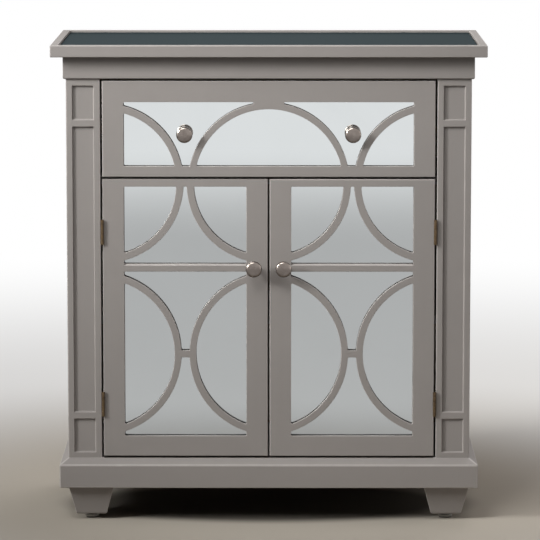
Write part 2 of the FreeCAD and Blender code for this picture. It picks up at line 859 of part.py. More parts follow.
# One leaf of a right-hand hinge whose middle is at a given level. The knuckles alternate between
# the leaves: this leaf holds the ones that are listed and is notched for the others.
def hinge_leaf(name, level, plate_x, held):
    plate = box(f"{name}_plate", plate_x, ("axis_y", "face_y + leaf_depth"),
                (f"{level} - hinge_height / 2", f"{level} + hinge_height / 2"))
    notch_y = ("axis_y", "axis_y + barrel_radius + barrel_play")
    share = f"hinge_height / {knuckle_count}"
    knuckles = []
    notches = []
    for index in range(knuckle_count):
        low = f"{level} - hinge_height / 2 + {index} * {share}"
        low_play = "0" if index == 0 else "knuckle_play / 2"
        top_play = "0" if index == knuckle_count - 1 else "knuckle_play / 2"
        if index in held:
            start = ("axis_x", "axis_y", f"{low} + {low_play}")
            length = f"{share} - {top_play} - {low_play}"
            knuckles.append(rod(f"{name}_knuckle_{index}", "Z", "barrel_radius", length, start))
        else:
            notches.append(box(f"{name}_notch_{index}", plate_x, notch_y,
                               (f"{low} - {low_play}", f"{low} + {share} + {top_play}")))
    solid = fuse(f"{name}_solid", cut(f"{name}_notched", plate, *notches), *knuckles)
    bore = rod(f"{name}_bore", "Z", "hinge_pin_radius + fit_play", "hinge_height",
               ("axis_x", "axis_y", f"{level} - hinge_height / 2"))
    return cut(f"{name}_bored", solid, bore)


hinge_levels = {"low": "low_hinge_z", "high": "high_hinge_z"}


# Places of the screws in one side's leaves: three in each hinge, in line.
def hinge_screw_spots(plane_x):
    return [
        (plane_x, "hinge_screw_y", f"{level} + {step} * hinge_screw_pitch")
        for level in hinge_levels.values()
        for step in (-1, 0, 1)
    ]


def make_frame_hinges(screw, screw_hole):
    leaf_x = ("opening_half - leaf_thick", "opening_half")
    into_frame = Rotation(Vector(0, 1, 0), -90)
    spots = hinge_screw_spots("opening_half - leaf_thick")
    holes = copies("frame_hinge_holes", screw_hole, spots, into_frame)
    leaves = [
        cut(f"frame_leaf_{name}", hinge_leaf(f"frame_{name}", level, leaf_x, (0, 2, 4)), holes)
        for name, level in hinge_levels.items()
    ]
    right = compound("frame_leaves_right", leaves)
    node(compound("frame_leaves", [right, mirror("frame_leaves_left", right)]), "hinge_frame_leaves")
    pins = compound("hinge_pins_right", [
        rod(f"hinge_pin_{name}", "Z", "hinge_pin_radius", "hinge_height",
            ("axis_x", "axis_y", f"{level} - hinge_height / 2"))
        for name, level in hinge_levels.items()
    ])
    node(compound("hinge_pins", [pins, mirror("hinge_pins_left", pins)]), "hinge_pins")
    screws = copies("frame_screws_right", screw, spots, into_frame)
    node(compound("frame_screws", [screws, mirror("frame_screws_left", screws)]), "hinge_frame_screws")
    return holes


# ---------------------------------------------------------------- doors

def door_fret():
    window = (place.window_x, place.window_end_x, place.window_z, place.window_top_z)
    upper_z = place.window_top_z + dim.upper_ring_rise
    lower_z = (place.window_z + place.bar_z) / 2
    rings = []
    for edge_x, sign in ((place.window_x, -1), (place.window_end_x, 1)):
        upper_x = edge_x + sign * dim.upper_ring_offset
        lower_x = edge_x + sign * dim.lower_ring_offset
        rings.append((upper_x, upper_z, dim.upper_ring_radius, dim.upper_ring_band))
        rings.append((lower_x, lower_z, dim.lower_ring_radius, dim.lower_ring_band))
    ring_reach = dim.lower_ring_radius + dim.lower_ring_band / 2 - dim.lower_ring_offset
    half_bridge = dim.bridge_height / 2
    bars = [
        (place.window_x, place.window_end_x, place.bar_z, place.bar_top_z),
        (place.window_x + ring_reach, place.window_end_x - ring_reach,
         lower_z - half_bridge, lower_z + half_bridge),
    ]
    return fret_openings("door_fret", window, rings, bars)


# A three-cornered prism that takes the upper front edge off the cross bar.
def bar_bevel_cut():
    wedge = doc.addObject("Part::Wedge", "bar_bevel_cut")
    bind(wedge, Xmin="window_x", Xmax="window_end_x", X2min="window_x", X2max="window_end_x",
         Ymin="face_y", Ymax="face_y + bar_bevel",
         Zmin="bar_top_z - bar_bevel", Zmax="bar_top_z", Z2min="bar_top_z", Z2max="bar_top_z")
    return wedge


def make_doors(screw, screw_hole):
    across = ("window_x", "window_end_x")
    up = ("window_z", "window_top_z")
    board = box("door_board", ("door_x", "front_half"), ("face_y", "rear_y"), ("door_z", "door_top_z"))

    knob_x, knob_z = "door_knob_x", "door_knob_z"
    shank = "front_thick + knob_screw_grip"
    knob_hole = rod("door_knob_hole", "Y", "knob_screw_radius + fit_play", "front_thick",
                    (knob_x, "face_y", knob_z))
    leaf_x = ("front_half", "front_half + leaf_thick")
    into_door = Rotation(Vector(0, 1, 0), 90)
    spots = hinge_screw_spots("front_half + leaf_thick")
    holes = copies("door_hinge_holes", screw_hole, spots, into_door)
    strike_spot = [("catch_middle_x", "rear_y + strike_thick", "catch_z + catch_height / 2")]
    into_rear = Rotation(Vector(1, 0, 0), -90)
    strike_hole = copies("strike_hole", screw_hole, strike_spot, into_rear)

    frame = cut("door_frame", board, door_fret(), bar_bevel_cut(), *back_pockets("door", across, up),
                knob_hole, holes, strike_hole)
    node_pair(frame, "door_{}_frame")
    mirror_glass = panel_behind("door_mirror", across, up, "mirror_margin", "mirror_y", "mirror_thick")
    node_pair(mirror_glass, "door_{}_mirror")
    backing = panel_behind("door_backing", across, up, "backing_margin", "backing_y", "backing_thick")
    node_pair(backing, "door_{}_backing")

    knob = knob_body()
    node_pair(copies("door_knob", knob, [(knob_x, "face_y", knob_z)]), "door_{}_knob")
    leaves = compound("door_leaves", [
        cut(f"door_leaf_{name}", hinge_leaf(f"door_{name}", level, leaf_x, (1, 3)), holes)
        for name, level in hinge_levels.items()
    ])
    node_pair(leaves, "door_{}_hinge_leaves")
    strike = box("strike", ("catch_middle_x - strike_width / 2", "catch_middle_x + strike_width / 2"),
                 ("rear_y", "rear_y + strike_thick"),
                 ("catch_z + catch_height / 2 - strike_height / 2",
                  "catch_z + catch_height / 2 + strike_height / 2"))
    node_pair(cut("strike_plate", strike, strike_hole), "door_{}_strike_plate")

    knob_screw = copies("door_knob_screw", pan_screw("long_pan_screw", shank),
                        [(knob_x, "rear_y", knob_z)])
    hinge_screws = copies("door_hinge_screws", screw, spots, into_door)
    strike_screw = copies("strike_screw", screw, strike_spot, into_rear)
    node_pair(compound("door_screws", [knob_screw, hinge_screws, strike_screw]), "door_{}_screws")
    return knob


def make_catches():
    catch = box("catch", ("catch_inset", "catch_inset + catch_width"), ("catch_y", "catch_y + catch_depth"),
                ("catch_z", "divider_z"))
    node(compound("catches", [catch, mirror("catch_left", catch)]), "door_catches")


# ---------------------------------------------------------------- drawer

def drawer_fret():
    half = place.drawer_window_half
    window = (-half, half, place.drawer_window_z, place.drawer_window_top)
    rings = [(0, place.middle_ring_z, dim.middle_ring_radius, dim.middle_ring_band)]
    for x in (-place.end_ring_x, place.end_ring_x):
        rings.append((x, place.end_ring_z, dim.end_ring_radius, dim.end_ring_band))
    return fret_openings("drawer_fret", window, rings, [])


def make_drawer(knob):
    across = ("-drawer_window_half", "drawer_window_half")
    up = ("drawer_window_z", "drawer_window_top")
    knob_spots = [(knob_x, "mirror_y", "drawer_knob_z") for knob_x in ("-drawer_knob_x", "drawer_knob_x")]
    screw_y = "rear_y + box_end_thick"
    knob_grip = f"{screw_y} - mirror_y"
    knob_holes = compound("drawer_knob_holes", [
        rod(f"drawer_knob_hole_{index}", "Y", "knob_screw_radius + fit_play", knob_grip, spot)
        for index, spot in enumerate(knob_spots, 1)
    ])
    screw = sunk_screw("box_screw", "box_screw_head_radius", "box_screw_radius", "box_screw_length")
    screw_hole = sunk_screw("box_screw_hole", "box_screw_head_radius", "box_screw_radius",
                            "box_screw_length", "fit_play")
    screw_x = "box_inner_half - box_screw_inset"
    screw_spots = [
        (side + screw_x + ")", screw_y, level)
        for side in ("(", "-(")
        for level in ("box_z + box_screw_margin", "box_top_z - box_screw_margin")
    ]
    into_front = Rotation(Vector(1, 0, 0), -90)
    screw_holes = copies("box_screw_holes", screw_hole, screw_spots, into_front)

    board = box("drawer_board", ("-front_half", "front_half"), ("face_y", "rear_y"),
                ("drawer_z", "drawer_top_z"))
    front = cut("drawer_front", board, drawer_fret(), *back_pockets("drawer", across, up), screw_holes)
    node(front, "drawer_front")
    glass = panel_behind("drawer_glass", across, up, "mirror_margin", "mirror_y", "mirror_thick")
    node(cut("drawer_mirror", glass, knob_holes), "drawer_mirror")
    backing = panel_behind("drawer_back_board", across, up, "backing_margin", "backing_y",
                           "backing_thick")
    node(cut("drawer_backing", backing, knob_holes), "drawer_backing")
    for side, spot in zip(("left", "right"), knob_spots):
        node(copies(f"drawer_knob_{side}", knob, [spot]), f"drawer_knob_{side}")

    knob_screw = pan_screw("drawer_knob_screw", knob_grip + " + knob_screw_grip")
    knob_screws = copies("drawer_knob_screws", knob_screw,
                         [(knob_x, screw_y, knob_z) for knob_x, _, knob_z in knob_spots])
    box_screws = copies("box_screws", screw, screw_spots, into_front)
    node(compound("drawer_screws", [knob_screws, box_screws]), "drawer_screws")
    make_box(knob_holes, screw_holes)


def make_box(knob_holes, screw_holes):
    inner = ("-box_inner_half", "box_inner_half")
    inside_y = "rear_y + box_end_thick"
    tongue = "box_bottom_tongue - box_play"
    bottom_top_z = "box_bottom_z + box_bottom_thick"
    groove = ("box_bottom_z - box_play", bottom_top_z + " + box_play")

    front = box("box_front_board", inner, ("rear_y", inside_y), ("box_z", "box_top_z"))
    front_groove = box("box_front_groove", inner, (inside_y + " - box_bottom_tongue", inside_y), groove)
    node(cut("box_front", front, front_groove, knob_holes, screw_holes), "drawer_box_front")

    side = box("box_side_board", ("box_inner_half", "front_half"), ("rear_y", "box_end_y"),
               ("box_z", "box_top_z"))
    bottom_groove = box("box_side_groove", ("box_inner_half", "box_inner_half + box_bottom_tongue"),
                        (inside_y + " - box_bottom_tongue", "box_end_y"), groove)
    runner_groove = box("box_runner_groove", ("runner_x - runner_play", "front_half"),
                        ("runner_y - runner_play", "box_end_y"),
                        ("runner_z - runner_play", "runner_z + runner_height + runner_play"))
    node_pair(cut("box_side", side, bottom_groove, runner_groove), "drawer_side_{}")

    back = box("box_back", inner, ("box_end_y - box_end_thick", "box_end_y"),
               (bottom_top_z, "box_top_z"))
    node(back, "drawer_box_back")
    bottom_half = "box_inner_half + " + tongue
    bottom = box("box_bottom", (minus(bottom_half), bottom_half),
                 (f"{inside_y} - ({tongue})", "box_end_y"), ("box_bottom_z", bottom_top_z))
    node(bottom, "drawer_bottom")


def make_runners():
    middle = "runner_z + runner_height / 2"
    packer = box("packer", ("opening_half", "inner_half"), ("pilaster_y", "box_end_y"),
                 (middle + " - packer_height / 2", middle + " + packer_height / 2"))
    node(compound("packers", [packer, mirror("packer_left", packer)]), "runner_packers")
    runner = box("runner", ("runner_x", "opening_half"), ("runner_y", "box_end_y"),
                 ("runner_z", "runner_z + runner_height"))
    node_pair(runner, "drawer_runner_{}")


# ---------------------------------------------------------------- build, check and write

def build():
    make_top()
    make_frieze()
    make_boards()
    make_back()
    make_shelf_pins()
    make_side_panels()
    make_plinth()
    make_feet()
    hinge_screw = ("hinge_screw_head_radius", "hinge_screw_radius", "hinge_screw_length")
    screw = sunk_screw("hinge_screw", *hinge_screw)
    screw_hole = sunk_screw("hinge_screw_hole", *hinge_screw, "fit_play")
    make_pilasters(make_frame_hinges(screw, screw_hole))
    knob = make_doors(screw, screw_hole)
    make_catches()
    make_drawer(knob)
    make_runners()


def check_document():
    doc.recompute()
    for item in doc.Objects:
        if "Invalid" in item.State or "Error" in item.State:
            raise RuntimeError(f"{item.Name} failed: {item.State}")
    for piece in nodes:
        if piece.Shape.isNull() or not piece.Shape.isValid() or not piece.Shape.Solids:
            raise RuntimeError(f"{piece.Label} has no valid shape")


def write_nodes():
    for piece in nodes:
        piece.Shape.exportStep(f"parts/{piece.Label}.step")
        print(piece.Label, len(piece.Shape.Solids), round(piece.Shape.Volume, 1))


build()
check_document()
write_nodes()
print(len(nodes), "nodes")
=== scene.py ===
import json
import math

import bmesh
import bpy
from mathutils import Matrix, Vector

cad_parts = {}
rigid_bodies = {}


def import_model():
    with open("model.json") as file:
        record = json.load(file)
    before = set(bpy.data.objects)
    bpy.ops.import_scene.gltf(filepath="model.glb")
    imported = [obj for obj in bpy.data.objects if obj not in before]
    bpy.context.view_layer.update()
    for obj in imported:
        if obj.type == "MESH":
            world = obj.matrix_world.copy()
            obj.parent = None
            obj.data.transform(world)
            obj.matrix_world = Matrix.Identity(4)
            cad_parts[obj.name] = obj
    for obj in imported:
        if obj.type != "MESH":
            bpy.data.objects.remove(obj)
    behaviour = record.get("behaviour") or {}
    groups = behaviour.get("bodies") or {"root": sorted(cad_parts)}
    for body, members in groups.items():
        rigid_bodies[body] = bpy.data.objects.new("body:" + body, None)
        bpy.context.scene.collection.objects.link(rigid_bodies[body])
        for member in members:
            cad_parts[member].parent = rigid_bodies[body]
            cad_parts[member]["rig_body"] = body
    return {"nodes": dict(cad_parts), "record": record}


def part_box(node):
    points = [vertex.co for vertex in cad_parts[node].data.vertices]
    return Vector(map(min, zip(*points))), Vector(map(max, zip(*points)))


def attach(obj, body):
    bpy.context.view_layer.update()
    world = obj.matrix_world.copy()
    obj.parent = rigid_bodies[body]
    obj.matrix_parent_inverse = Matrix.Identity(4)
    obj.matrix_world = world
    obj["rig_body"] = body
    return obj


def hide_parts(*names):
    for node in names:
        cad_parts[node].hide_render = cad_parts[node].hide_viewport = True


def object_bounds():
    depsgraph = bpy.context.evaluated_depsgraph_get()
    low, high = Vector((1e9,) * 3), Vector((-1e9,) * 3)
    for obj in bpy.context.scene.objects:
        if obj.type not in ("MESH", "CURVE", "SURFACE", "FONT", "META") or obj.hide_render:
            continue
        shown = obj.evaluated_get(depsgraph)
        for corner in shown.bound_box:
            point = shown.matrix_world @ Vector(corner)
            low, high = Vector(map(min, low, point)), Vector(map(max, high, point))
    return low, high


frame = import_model()
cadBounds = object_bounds()
scene = bpy.context.scene
mm = 0.001
nodes = frame["nodes"]
slotOf = {part["node"]: part["material_slot"] for part in frame["record"]["subparts"]}
print("frame loaded,", len(nodes), "nodes")


class Value:  # a socket that adds Math nodes when it is calculated with
    def __init__(self, graph, socket):
        self.graph = graph
        self.socket = socket

    def output(self, name):
        return Value(self.graph, self.socket.node.outputs[name])

    def math(self, operation, *values):
        return self.graph.node("ShaderNodeMath", {"operation": operation}, dict(enumerate(values)))

    def __add__(self, other):
        return self.math("ADD", self, other)

    def __sub__(self, other):
        return self.math("SUBTRACT", self, other)

    def __rsub__(self, other):
        return self.math("SUBTRACT", other, self)

    def __mul__(self, other):
        return self.math("MULTIPLY", self, other)

    def __pow__(self, other):
        return self.math("POWER", self, other)

    __radd__ = __add__
    __rmul__ = __mul__


class Graph:
    def __init__(self, tree):
        self.tree = tree
        tree.nodes.clear()

    def node(self, kind, settings=None, sockets=None, out=0):
        item = self.tree.nodes.new(kind)
        for name, setting in (settings or {}).items():
            if name == "stops":
                self.fillRamp(item.color_ramp, setting)
            else:
                setattr(item, name, setting)
        for name, value in (sockets or {}).items():
            for single in value if isinstance(value, list) else [value]:
                if isinstance(single, Value):
                    self.tree.links.new(single.socket, item.inputs[name])
                else:
                    item.inputs[name].default_value = single
        return Value(self, item.outputs[out]) if item.outputs else None

    def fillRamp(self, ramp, stops):
        while len(ramp.elements) < len(stops):
            ramp.elements.new(1)
        for element, (position, tone) in zip(ramp.elements, stops):
            element.position = position
            element.color = (tone, tone, tone, 1)

    def point(self):
        return self.node("ShaderNodeTexCoord", out="Object")

    def attribute(self, name):
        return self.node("ShaderNodeAttribute", {"attribute_name": name}, out="Fac")

    def stretched(self, vector, stretch):
        return self.node("ShaderNodeMapping", sockets={"Vector": vector, "Scale": stretch})

    def noise(self, vector, scale, detail, roughness=0.5, distortion=0.0):
        return self.node("ShaderNodeTexNoise", sockets={
            "Vector": vector, "Scale": scale, "Detail": detail,
            "Roughness": roughness, "Distortion": distortion})

    def ramp(self, value, stops):
        return self.node("ShaderNodeValToRGB", {"stops": stops}, {0: value})

    def mix(self, factor, first, second):
        return self.node("ShaderNodeMix", {"data_type": "RGBA"}, {0: factor, 6: first, 7: second}, out=2)

    def scaled(self, vector, factor):
        return self.node("ShaderNodeVectorMath", {"operation": "SCALE"}, {0: vector, "Scale": factor})

    def bump(self, height, strength, distance):
        return self.node("ShaderNodeBump", sockets={
            "Height": height, "Strength": strength, "Distance": distance}, out="Normal")

    def shader(self, **sockets):
        return self.node("ShaderNodeBsdfPrincipled", sockets={
            name.replace("_", " "): value for name, value in sockets.items()})


def rgba(colour):
    return (*colour, 1)


def makeMaterial(name, build, look):
    material = bpy.data.materials.new(name)
    material.use_nodes = True
    graph = Graph(material.node_tree)
    graph.node("ShaderNodeOutputMaterial", sockets={"Surface": build(graph, look)})
    return material


# In every look a noise is its scale, detail, roughness and distortion, stops are a ramp's places and
# tones, and a bump is its strength and distance.
paintLook = {
    "colour": (0.250, 0.230, 0.220),
    "driftNoise": (3.1, 3),
    "drift": 0.07,  # slow change of tone over a board
    "mottleNoise": (38, 4, 0.6),
    "mottle": 0.035,
    "mottleRoughness": 0.12,
    "speckNoise": (210, 2, 0.7),
    "speckStops": ((0.70, 0), (0.78, 1)),
    "speckTone": 0.05,
    "speckRoughness": 0.08,
    "roughness": 0.44,
    "specular": 0.40,
    "grazing": 0.5,  # added roughness where a surface is looked along
    "rubbedLeast": 0.6,
    "rubbedVaries": 0.8,
    "arrisTone": 0.34,  # arrises are lighter, partly as rubbed wear and partly as a painted highlight along the rounded edges
    "arrisGloss": 0.10,
    "rawTone": 0.10,  # what the back of a fret keeps of the colour: painted shade for the dark gap between fret and mirror
    "peelNoise": (700, 1.5, 0.45),  # the sprayed coat's orange peel, about 1.4 mm
    "mottleHeight": 0.5,
    "bump": (0.10, 0.4 * mm),
}
insideLook = {
    **paintLook,
    "colour": (0.26, 0.240, 0.230),
    "roughness": 0.55,
    "bump": (0.16, 0.4 * mm),
}


def paintCoat(graph, look):
    point = graph.point()
    drift = graph.noise(point, *look["driftNoise"])
    mottle = graph.noise(point, *look["mottleNoise"])
    peel = graph.noise(point, *look["peelNoise"])
    speck = graph.ramp(graph.noise(point, *look["speckNoise"]), look["speckStops"])
    # arrises are lightened: partly rubbed wear, partly a painted highlight along the rounded edges
    rubbedAndLit = graph.attribute("arris") * (look["rubbedLeast"] + mottle * look["rubbedVaries"])
    # fret backs are darkened: painted shade for the gap behind the fret that the mirror shows
    raw = graph.attribute("raw")
    along = graph.node("ShaderNodeLayerWeight", sockets={"Blend": 0.5}, out="Facing") ** 4
    tone = 1 + (drift - 0.5) * look["drift"] * 2 + (mottle - 0.5) * look["mottle"] * 2
    worn = tone + speck * look["speckTone"] + rubbedAndLit * look["arrisTone"]
    return graph.shader(
        Base_Color=graph.scaled(look["colour"], worn * (1 - raw * (1 - look["rawTone"]))),
        Roughness=look["roughness"] + (mottle - 0.5) * look["mottleRoughness"]
        + speck * look["speckRoughness"] - rubbedAndLit * look["arrisGloss"] + along * look["grazing"],
        Specular_IOR_Level=look["specular"],
        Normal=graph.bump(peel + mottle * look["mottleHeight"], *look["bump"]))


woodLook = {
    "pale": (0.56, 0.40, 0.235),
    "dark": (0.36, 0.225, 0.115),
    "roughness": 0.55,
    "growthNoise": (7.0, 5, 0.55, 0.6),
    "growthShare": 0.65,
    "lineNoise": (35.0, 3, 0.6),
    "lineStops": ((0.38, 0), (0.62, 1)),
    "grainStops": ((0.30, 0), (0.68, 1)),
    "grainShare": 0.75,
    "grainGloss": 0.06,
    "grainHeight": 0.4,
    "poreNoise": (190, 2, 0.6),
    "poreStops": ((0.36, 1), (0.44, 0)),
    "poreRoughness": 0.15,
    "poreDepth": 0.8,
    "bump": (0.25, 0.3 * mm),
}


def woodAlong(stretch):
    def wood(graph, look):
        along = graph.stretched(graph.point(), stretch)
        growth = graph.noise(along, *look["growthNoise"])
        lines = graph.ramp(graph.noise(along, *look["lineNoise"]), look["lineStops"])
        pores = graph.ramp(graph.noise(along, *look["poreNoise"]), look["poreStops"])
        years = growth * look["growthShare"] + lines * (1 - look["growthShare"])
        grain = graph.ramp(years, look["grainStops"])
        darkness = grain * look["grainShare"] + pores * (1 - look["grainShare"])
        return graph.shader(
            Base_Color=graph.mix(darkness, rgba(look["pale"]), rgba(look["dark"])),
            Roughness=look["roughness"] + pores * look["poreRoughness"] - grain * look["grainGloss"],
            Normal=graph.bump(grain * look["grainHeight"] - pores * look["poreDepth"], *look["bump"]))
    return wood


hardboardLook = {
    "colour": (0.27, 0.165, 0.095),
    "fibre": (0.17, 0.095, 0.052),
    "roughness": 0.62,
    "fibreNoise": (420, 4, 0.7, 0.8),
    "fibreShare": 0.7,
    "fibreRoughness": 0.12,
    "fibreHeight": 0.4,
    "blotchNoise": (9, 4, 0.6),
    "toneStops": ((0.35, 0), (0.68, 1)),
    "meshPitch": 1.6 * mm,  # the pressed mesh of the rough side
    "meshTone": 0.12,
    "meshHeight": 0.6,
    "roughFrom": 0.199,  # the rough side faces the back, past this depth
    "bump": (0.3, 0.2 * mm),
}


def hardboard(graph, look):
    point = graph.point()
    fibres = graph.noise(point, *look["fibreNoise"])
    blotches = graph.noise(point, *look["blotchNoise"])
    place = graph.node("ShaderNodeSeparateXYZ", sockets={0: point})
    turn = 2 * math.pi / look["meshPitch"]
    weave = [place.math("SINE", place.output(axis) * turn) for axis in "XZ"]
    rough = place.math("GREATER_THAN", place.output("Y"), look["roughFrom"])
    mesh = weave[0] * weave[1] * rough
    tone = graph.ramp(fibres * look["fibreShare"] + blotches * (1 - look["fibreShare"]), look["toneStops"])
    colour = graph.mix(tone, rgba(look["colour"]), rgba(look["fibre"]))
    return graph.shader(
        Base_Color=graph.scaled(colour, 1 + mesh * look["meshTone"]),
        Roughness=look["roughness"] + fibres * look["fibreRoughness"],
        Normal=graph.bump(fibres * look["fibreHeight"] + mesh * look["meshHeight"], *look["bump"]))


mirrorLook = {
    "colour": (0.70, 0.728, 0.735),
    "edgeTint": (0.95, 0.97, 0.97),
    "metallic": 1.0,
    "roughness": 0.012,
    "border": 0.5,  # how much darker the glass is past the end of its silver
    "hazeNoise": (7, 4, 0.65, 0.5),
    "hazeStops": ((0.45, 0), (0.75, 1)),
    "hazeTone": 0.02,
    "hazeRoughness": 0.02,
    "dustNoise": (900, 1),
    "dustStops": ((0.74, 0), (0.80, 1)),
    "dustTone": 0.03,
    "dustRoughness": 0.05,
}
topMirrorLook = {
    **mirrorLook,
    "colour": (0.026, 0.036, 0.040),
    "edgeTint": (0.71, 0.92, 1.0),
    "metallic": 0.049,  # the smoked glass keeps back the rest
    "roughness": 0.02,
    "border": 0.93,
    "hazeRoughness": 0.05,
}


def silvering(graph, look):
    point = graph.point()
    haze = graph.ramp(graph.noise(point, *look["hazeNoise"]), look["hazeStops"])
    dust = graph.ramp(graph.noise(point, *look["dustNoise"]), look["dustStops"])
    silver = 1 - graph.attribute("arris") * look["border"]
    clear = 1 - haze * look["hazeTone"] - dust * look["dustTone"]
    return graph.shader(
        Base_Color=graph.scaled(look["colour"], clear * silver),
        Metallic=silver * look["metallic"],
        Specular_IOR_Level=0.0,
        Specular_Tint=rgba(look["edgeTint"]),
        Roughness=look["roughness"] + haze * look["hazeRoughness"] + dust * look["dustRoughness"])


nickelLook = {
    "colour": (0.262, 0.226, 0.204),
    "tarnish": (0.060, 0.041, 0.031),
    "roughness": 0.13,
    "patinaNoise": (95, 3, 0.6, 0.3),
    "patinaStops": ((0.38, 0), (0.66, 1)),
    "patinaRoughness": 0.10,
    "ringScale": 3200,  # the marks of turning, about 0.3 mm apart
    "ringRoughness": 0.2,
    "bump": (1.0, 0.03 * mm),
    "tarnishing": 0.26,
}
brassLook = {
    "colour": (0.145, 0.100, 0.058),
    "tarnish": (0.042, 0.029, 0.020),
    "roughness": 0.36,
    "patinaNoise": (130, 4, 0.65, 0.3),
    "patinaStops": ((0.40, 0), (0.70, 1)),
    "patinaRoughness": 0.10,
    "brushNoise": (120, 3, 0.6),
    "brushStretch": (4, 4, 1),
    "brushRoughness": 0.16,
    "bump": (0.10, 0.05 * mm),
    "tarnishing": 0.8,
}
steelLook = {
    **brassLook,
    "colour": (0.56, 0.56, 0.55),
    "tarnish": (0.34, 0.33, 0.31),
    "roughness": 0.33,
    "brushNoise": (240, 3, 0.6),
    "brushStretch": (1, 1, 1),
    "bump": (0.12, 0.05 * mm),
    "tarnishing": 0.5,
}


def tarnishedMetal(graph, look, point, marks, marksRoughness):
    patina = graph.ramp(graph.noise(point, *look["patinaNoise"]), look["patinaStops"])
    return graph.shader(
        Base_Color=graph.mix(patina * look["tarnishing"], rgba(look["colour"]), rgba(look["tarnish"])),
        Metallic=1.0,
        Roughness=look["roughness"] + (marks - 0.5) * marksRoughness + patina * look["patinaRoughness"],
        Normal=graph.bump(marks, *look["bump"]))


def brushedMetal(graph, look):
    point = graph.point()
    brush = graph.noise(graph.stretched(point, look["brushStretch"]), *look["brushNoise"])
    return tarnishedMetal(graph, look, point, brush, look["brushRoughness"])


def turnedMetal(graph, look):  # fine rings round the knob's axis
    rings = graph.node("ShaderNodeTexNoise", {"noise_dimensions": "1D"}, {
        "W": graph.attribute("radius"), "Scale": look["ringScale"], "Detail": 2.0})
    return tarnishedMetal(graph, look, graph.point(), rings, look["ringRoughness"])


plasticLook = {
    "colour": (0.028, 0.027, 0.026),
    "roughness": 0.5,
    "sparkNoise": (1100, 2, 0.6),
    "cloudNoise": (60, 3, 0.6),
    "cloudTone": 0.2,
    "cloudRoughness": 0.2,
    "bump": (0.2, 0.1 * mm),
}
padLook = {**plasticLook, "colour": (0.44, 0.43, 0.41), "roughness": 0.4}


def mouldedPlastic(graph, look):
    point = graph.point()
    cloud = graph.noise(point, *look["cloudNoise"]) - 0.5
    return graph.shader(
        Base_Color=graph.scaled(look["colour"], 1 + cloud * look["cloudTone"]),
        Roughness=look["roughness"] + cloud * look["cloudRoughness"],
        Normal=graph.bump(graph.noise(point, *look["sparkNoise"]), *look["bump"]))


materials = {
    "paint": makeMaterial("greyPaint", paintCoat, paintLook),
    "cupboard_board": makeMaterial("insidePaint", paintCoat, insideLook),
    "woodX": makeMaterial("woodAlongX", woodAlong((0.5, 7, 7)), woodLook),
    "woodY": makeMaterial("woodAlongY", woodAlong((7, 0.5, 7)), woodLook),
    "hardboard": makeMaterial("hardboard", hardboard, hardboardLook),
    "mirror": makeMaterial("silvering", silvering, mirrorLook),
    "top_mirror": makeMaterial("smokedSilvering", silvering, topMirrorLook),
    "satin_nickel": makeMaterial("satinNickel", turnedMetal, nickelLook),
    "antique_brass": makeMaterial("antiqueBrass", brushedMetal, brassLook),
    "steel": makeMaterial("zincSteel", brushedMetal, steelLook),
    "black_plastic": makeMaterial("blackPlastic", mouldedPlastic, plasticLook),
    "pad": makeMaterial("greyPlastic", mouldedPlastic, padLook),
}


def materialFor(node):
    slot = slotOf[node]
    if slot != "raw_wood":
        return materials[slot]
    low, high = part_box(node)
    return materials["woodX" if high.x - low.x > high.y - low.y else "woodY"]


for name, node in nodes.items():
    node.data.materials.clear()
    node.data.materials.append(materialFor(name))
print("materials made,", len(materials))


def addPiece(name, mesh, node, material=None, stands=True):
    piece = bpy.data.objects.new(name, mesh)
    scene.collection.objects.link(piece)
    mesh.materials.clear()
    mesh.materials.append(material or materialFor(node))
    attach(piece, nodes[node]["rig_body"])
    if stands:
        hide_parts(node)
    return piece


def settled(piece):  # the piece's mesh with its modifiers worked in
    bpy.context.view_layer.update()
    graph = bpy.context.evaluated_depsgraph_get()
    mesh = bpy.data.meshes.new_from_object(
        piece.evaluated_get(graph), preserve_all_data_layers=True, depsgraph=graph)
    piece.modifiers.clear()
    piece.data = mesh
    return mesh


dressing = {
    "mergeDistance": 0.002 * mm,
    "flatAngle": math.radians(0.4),
    "sharpAngle": math.radians(28),
    "smoothAngle": math.radians(35),
    "segments": 3,
}


def mergedShape(node):  # a CAD node's loose triangles as one closed shape
    source = nodes[node].data
    shape = bmesh.new()
    corners = [shape.verts.new(vertex.co) for vertex in source.vertices]
    for face in source.polygons:
        shape.faces.new([corners[index] for index in face.vertices])
    bmesh.ops.remove_doubles(shape, verts=shape.verts, dist=dressing["mergeDistance"])
    return shape


def cleaned(mesh):  # no doubled points and no faces without area
    shape = bmesh.new()
    shape.from_mesh(mesh)
    bmesh.ops.remove_doubles(shape, verts=shape.verts, dist=dressing["mergeDistance"])
    bmesh.ops.dissolve_degenerate(shape, edges=shape.edges, dist=dressing["mergeDistance"])
    shape.to_mesh(mesh)
    shape.free()


def middleOf(edge):
    return (edge.verts[0].co + edge.verts[1].co) / 2


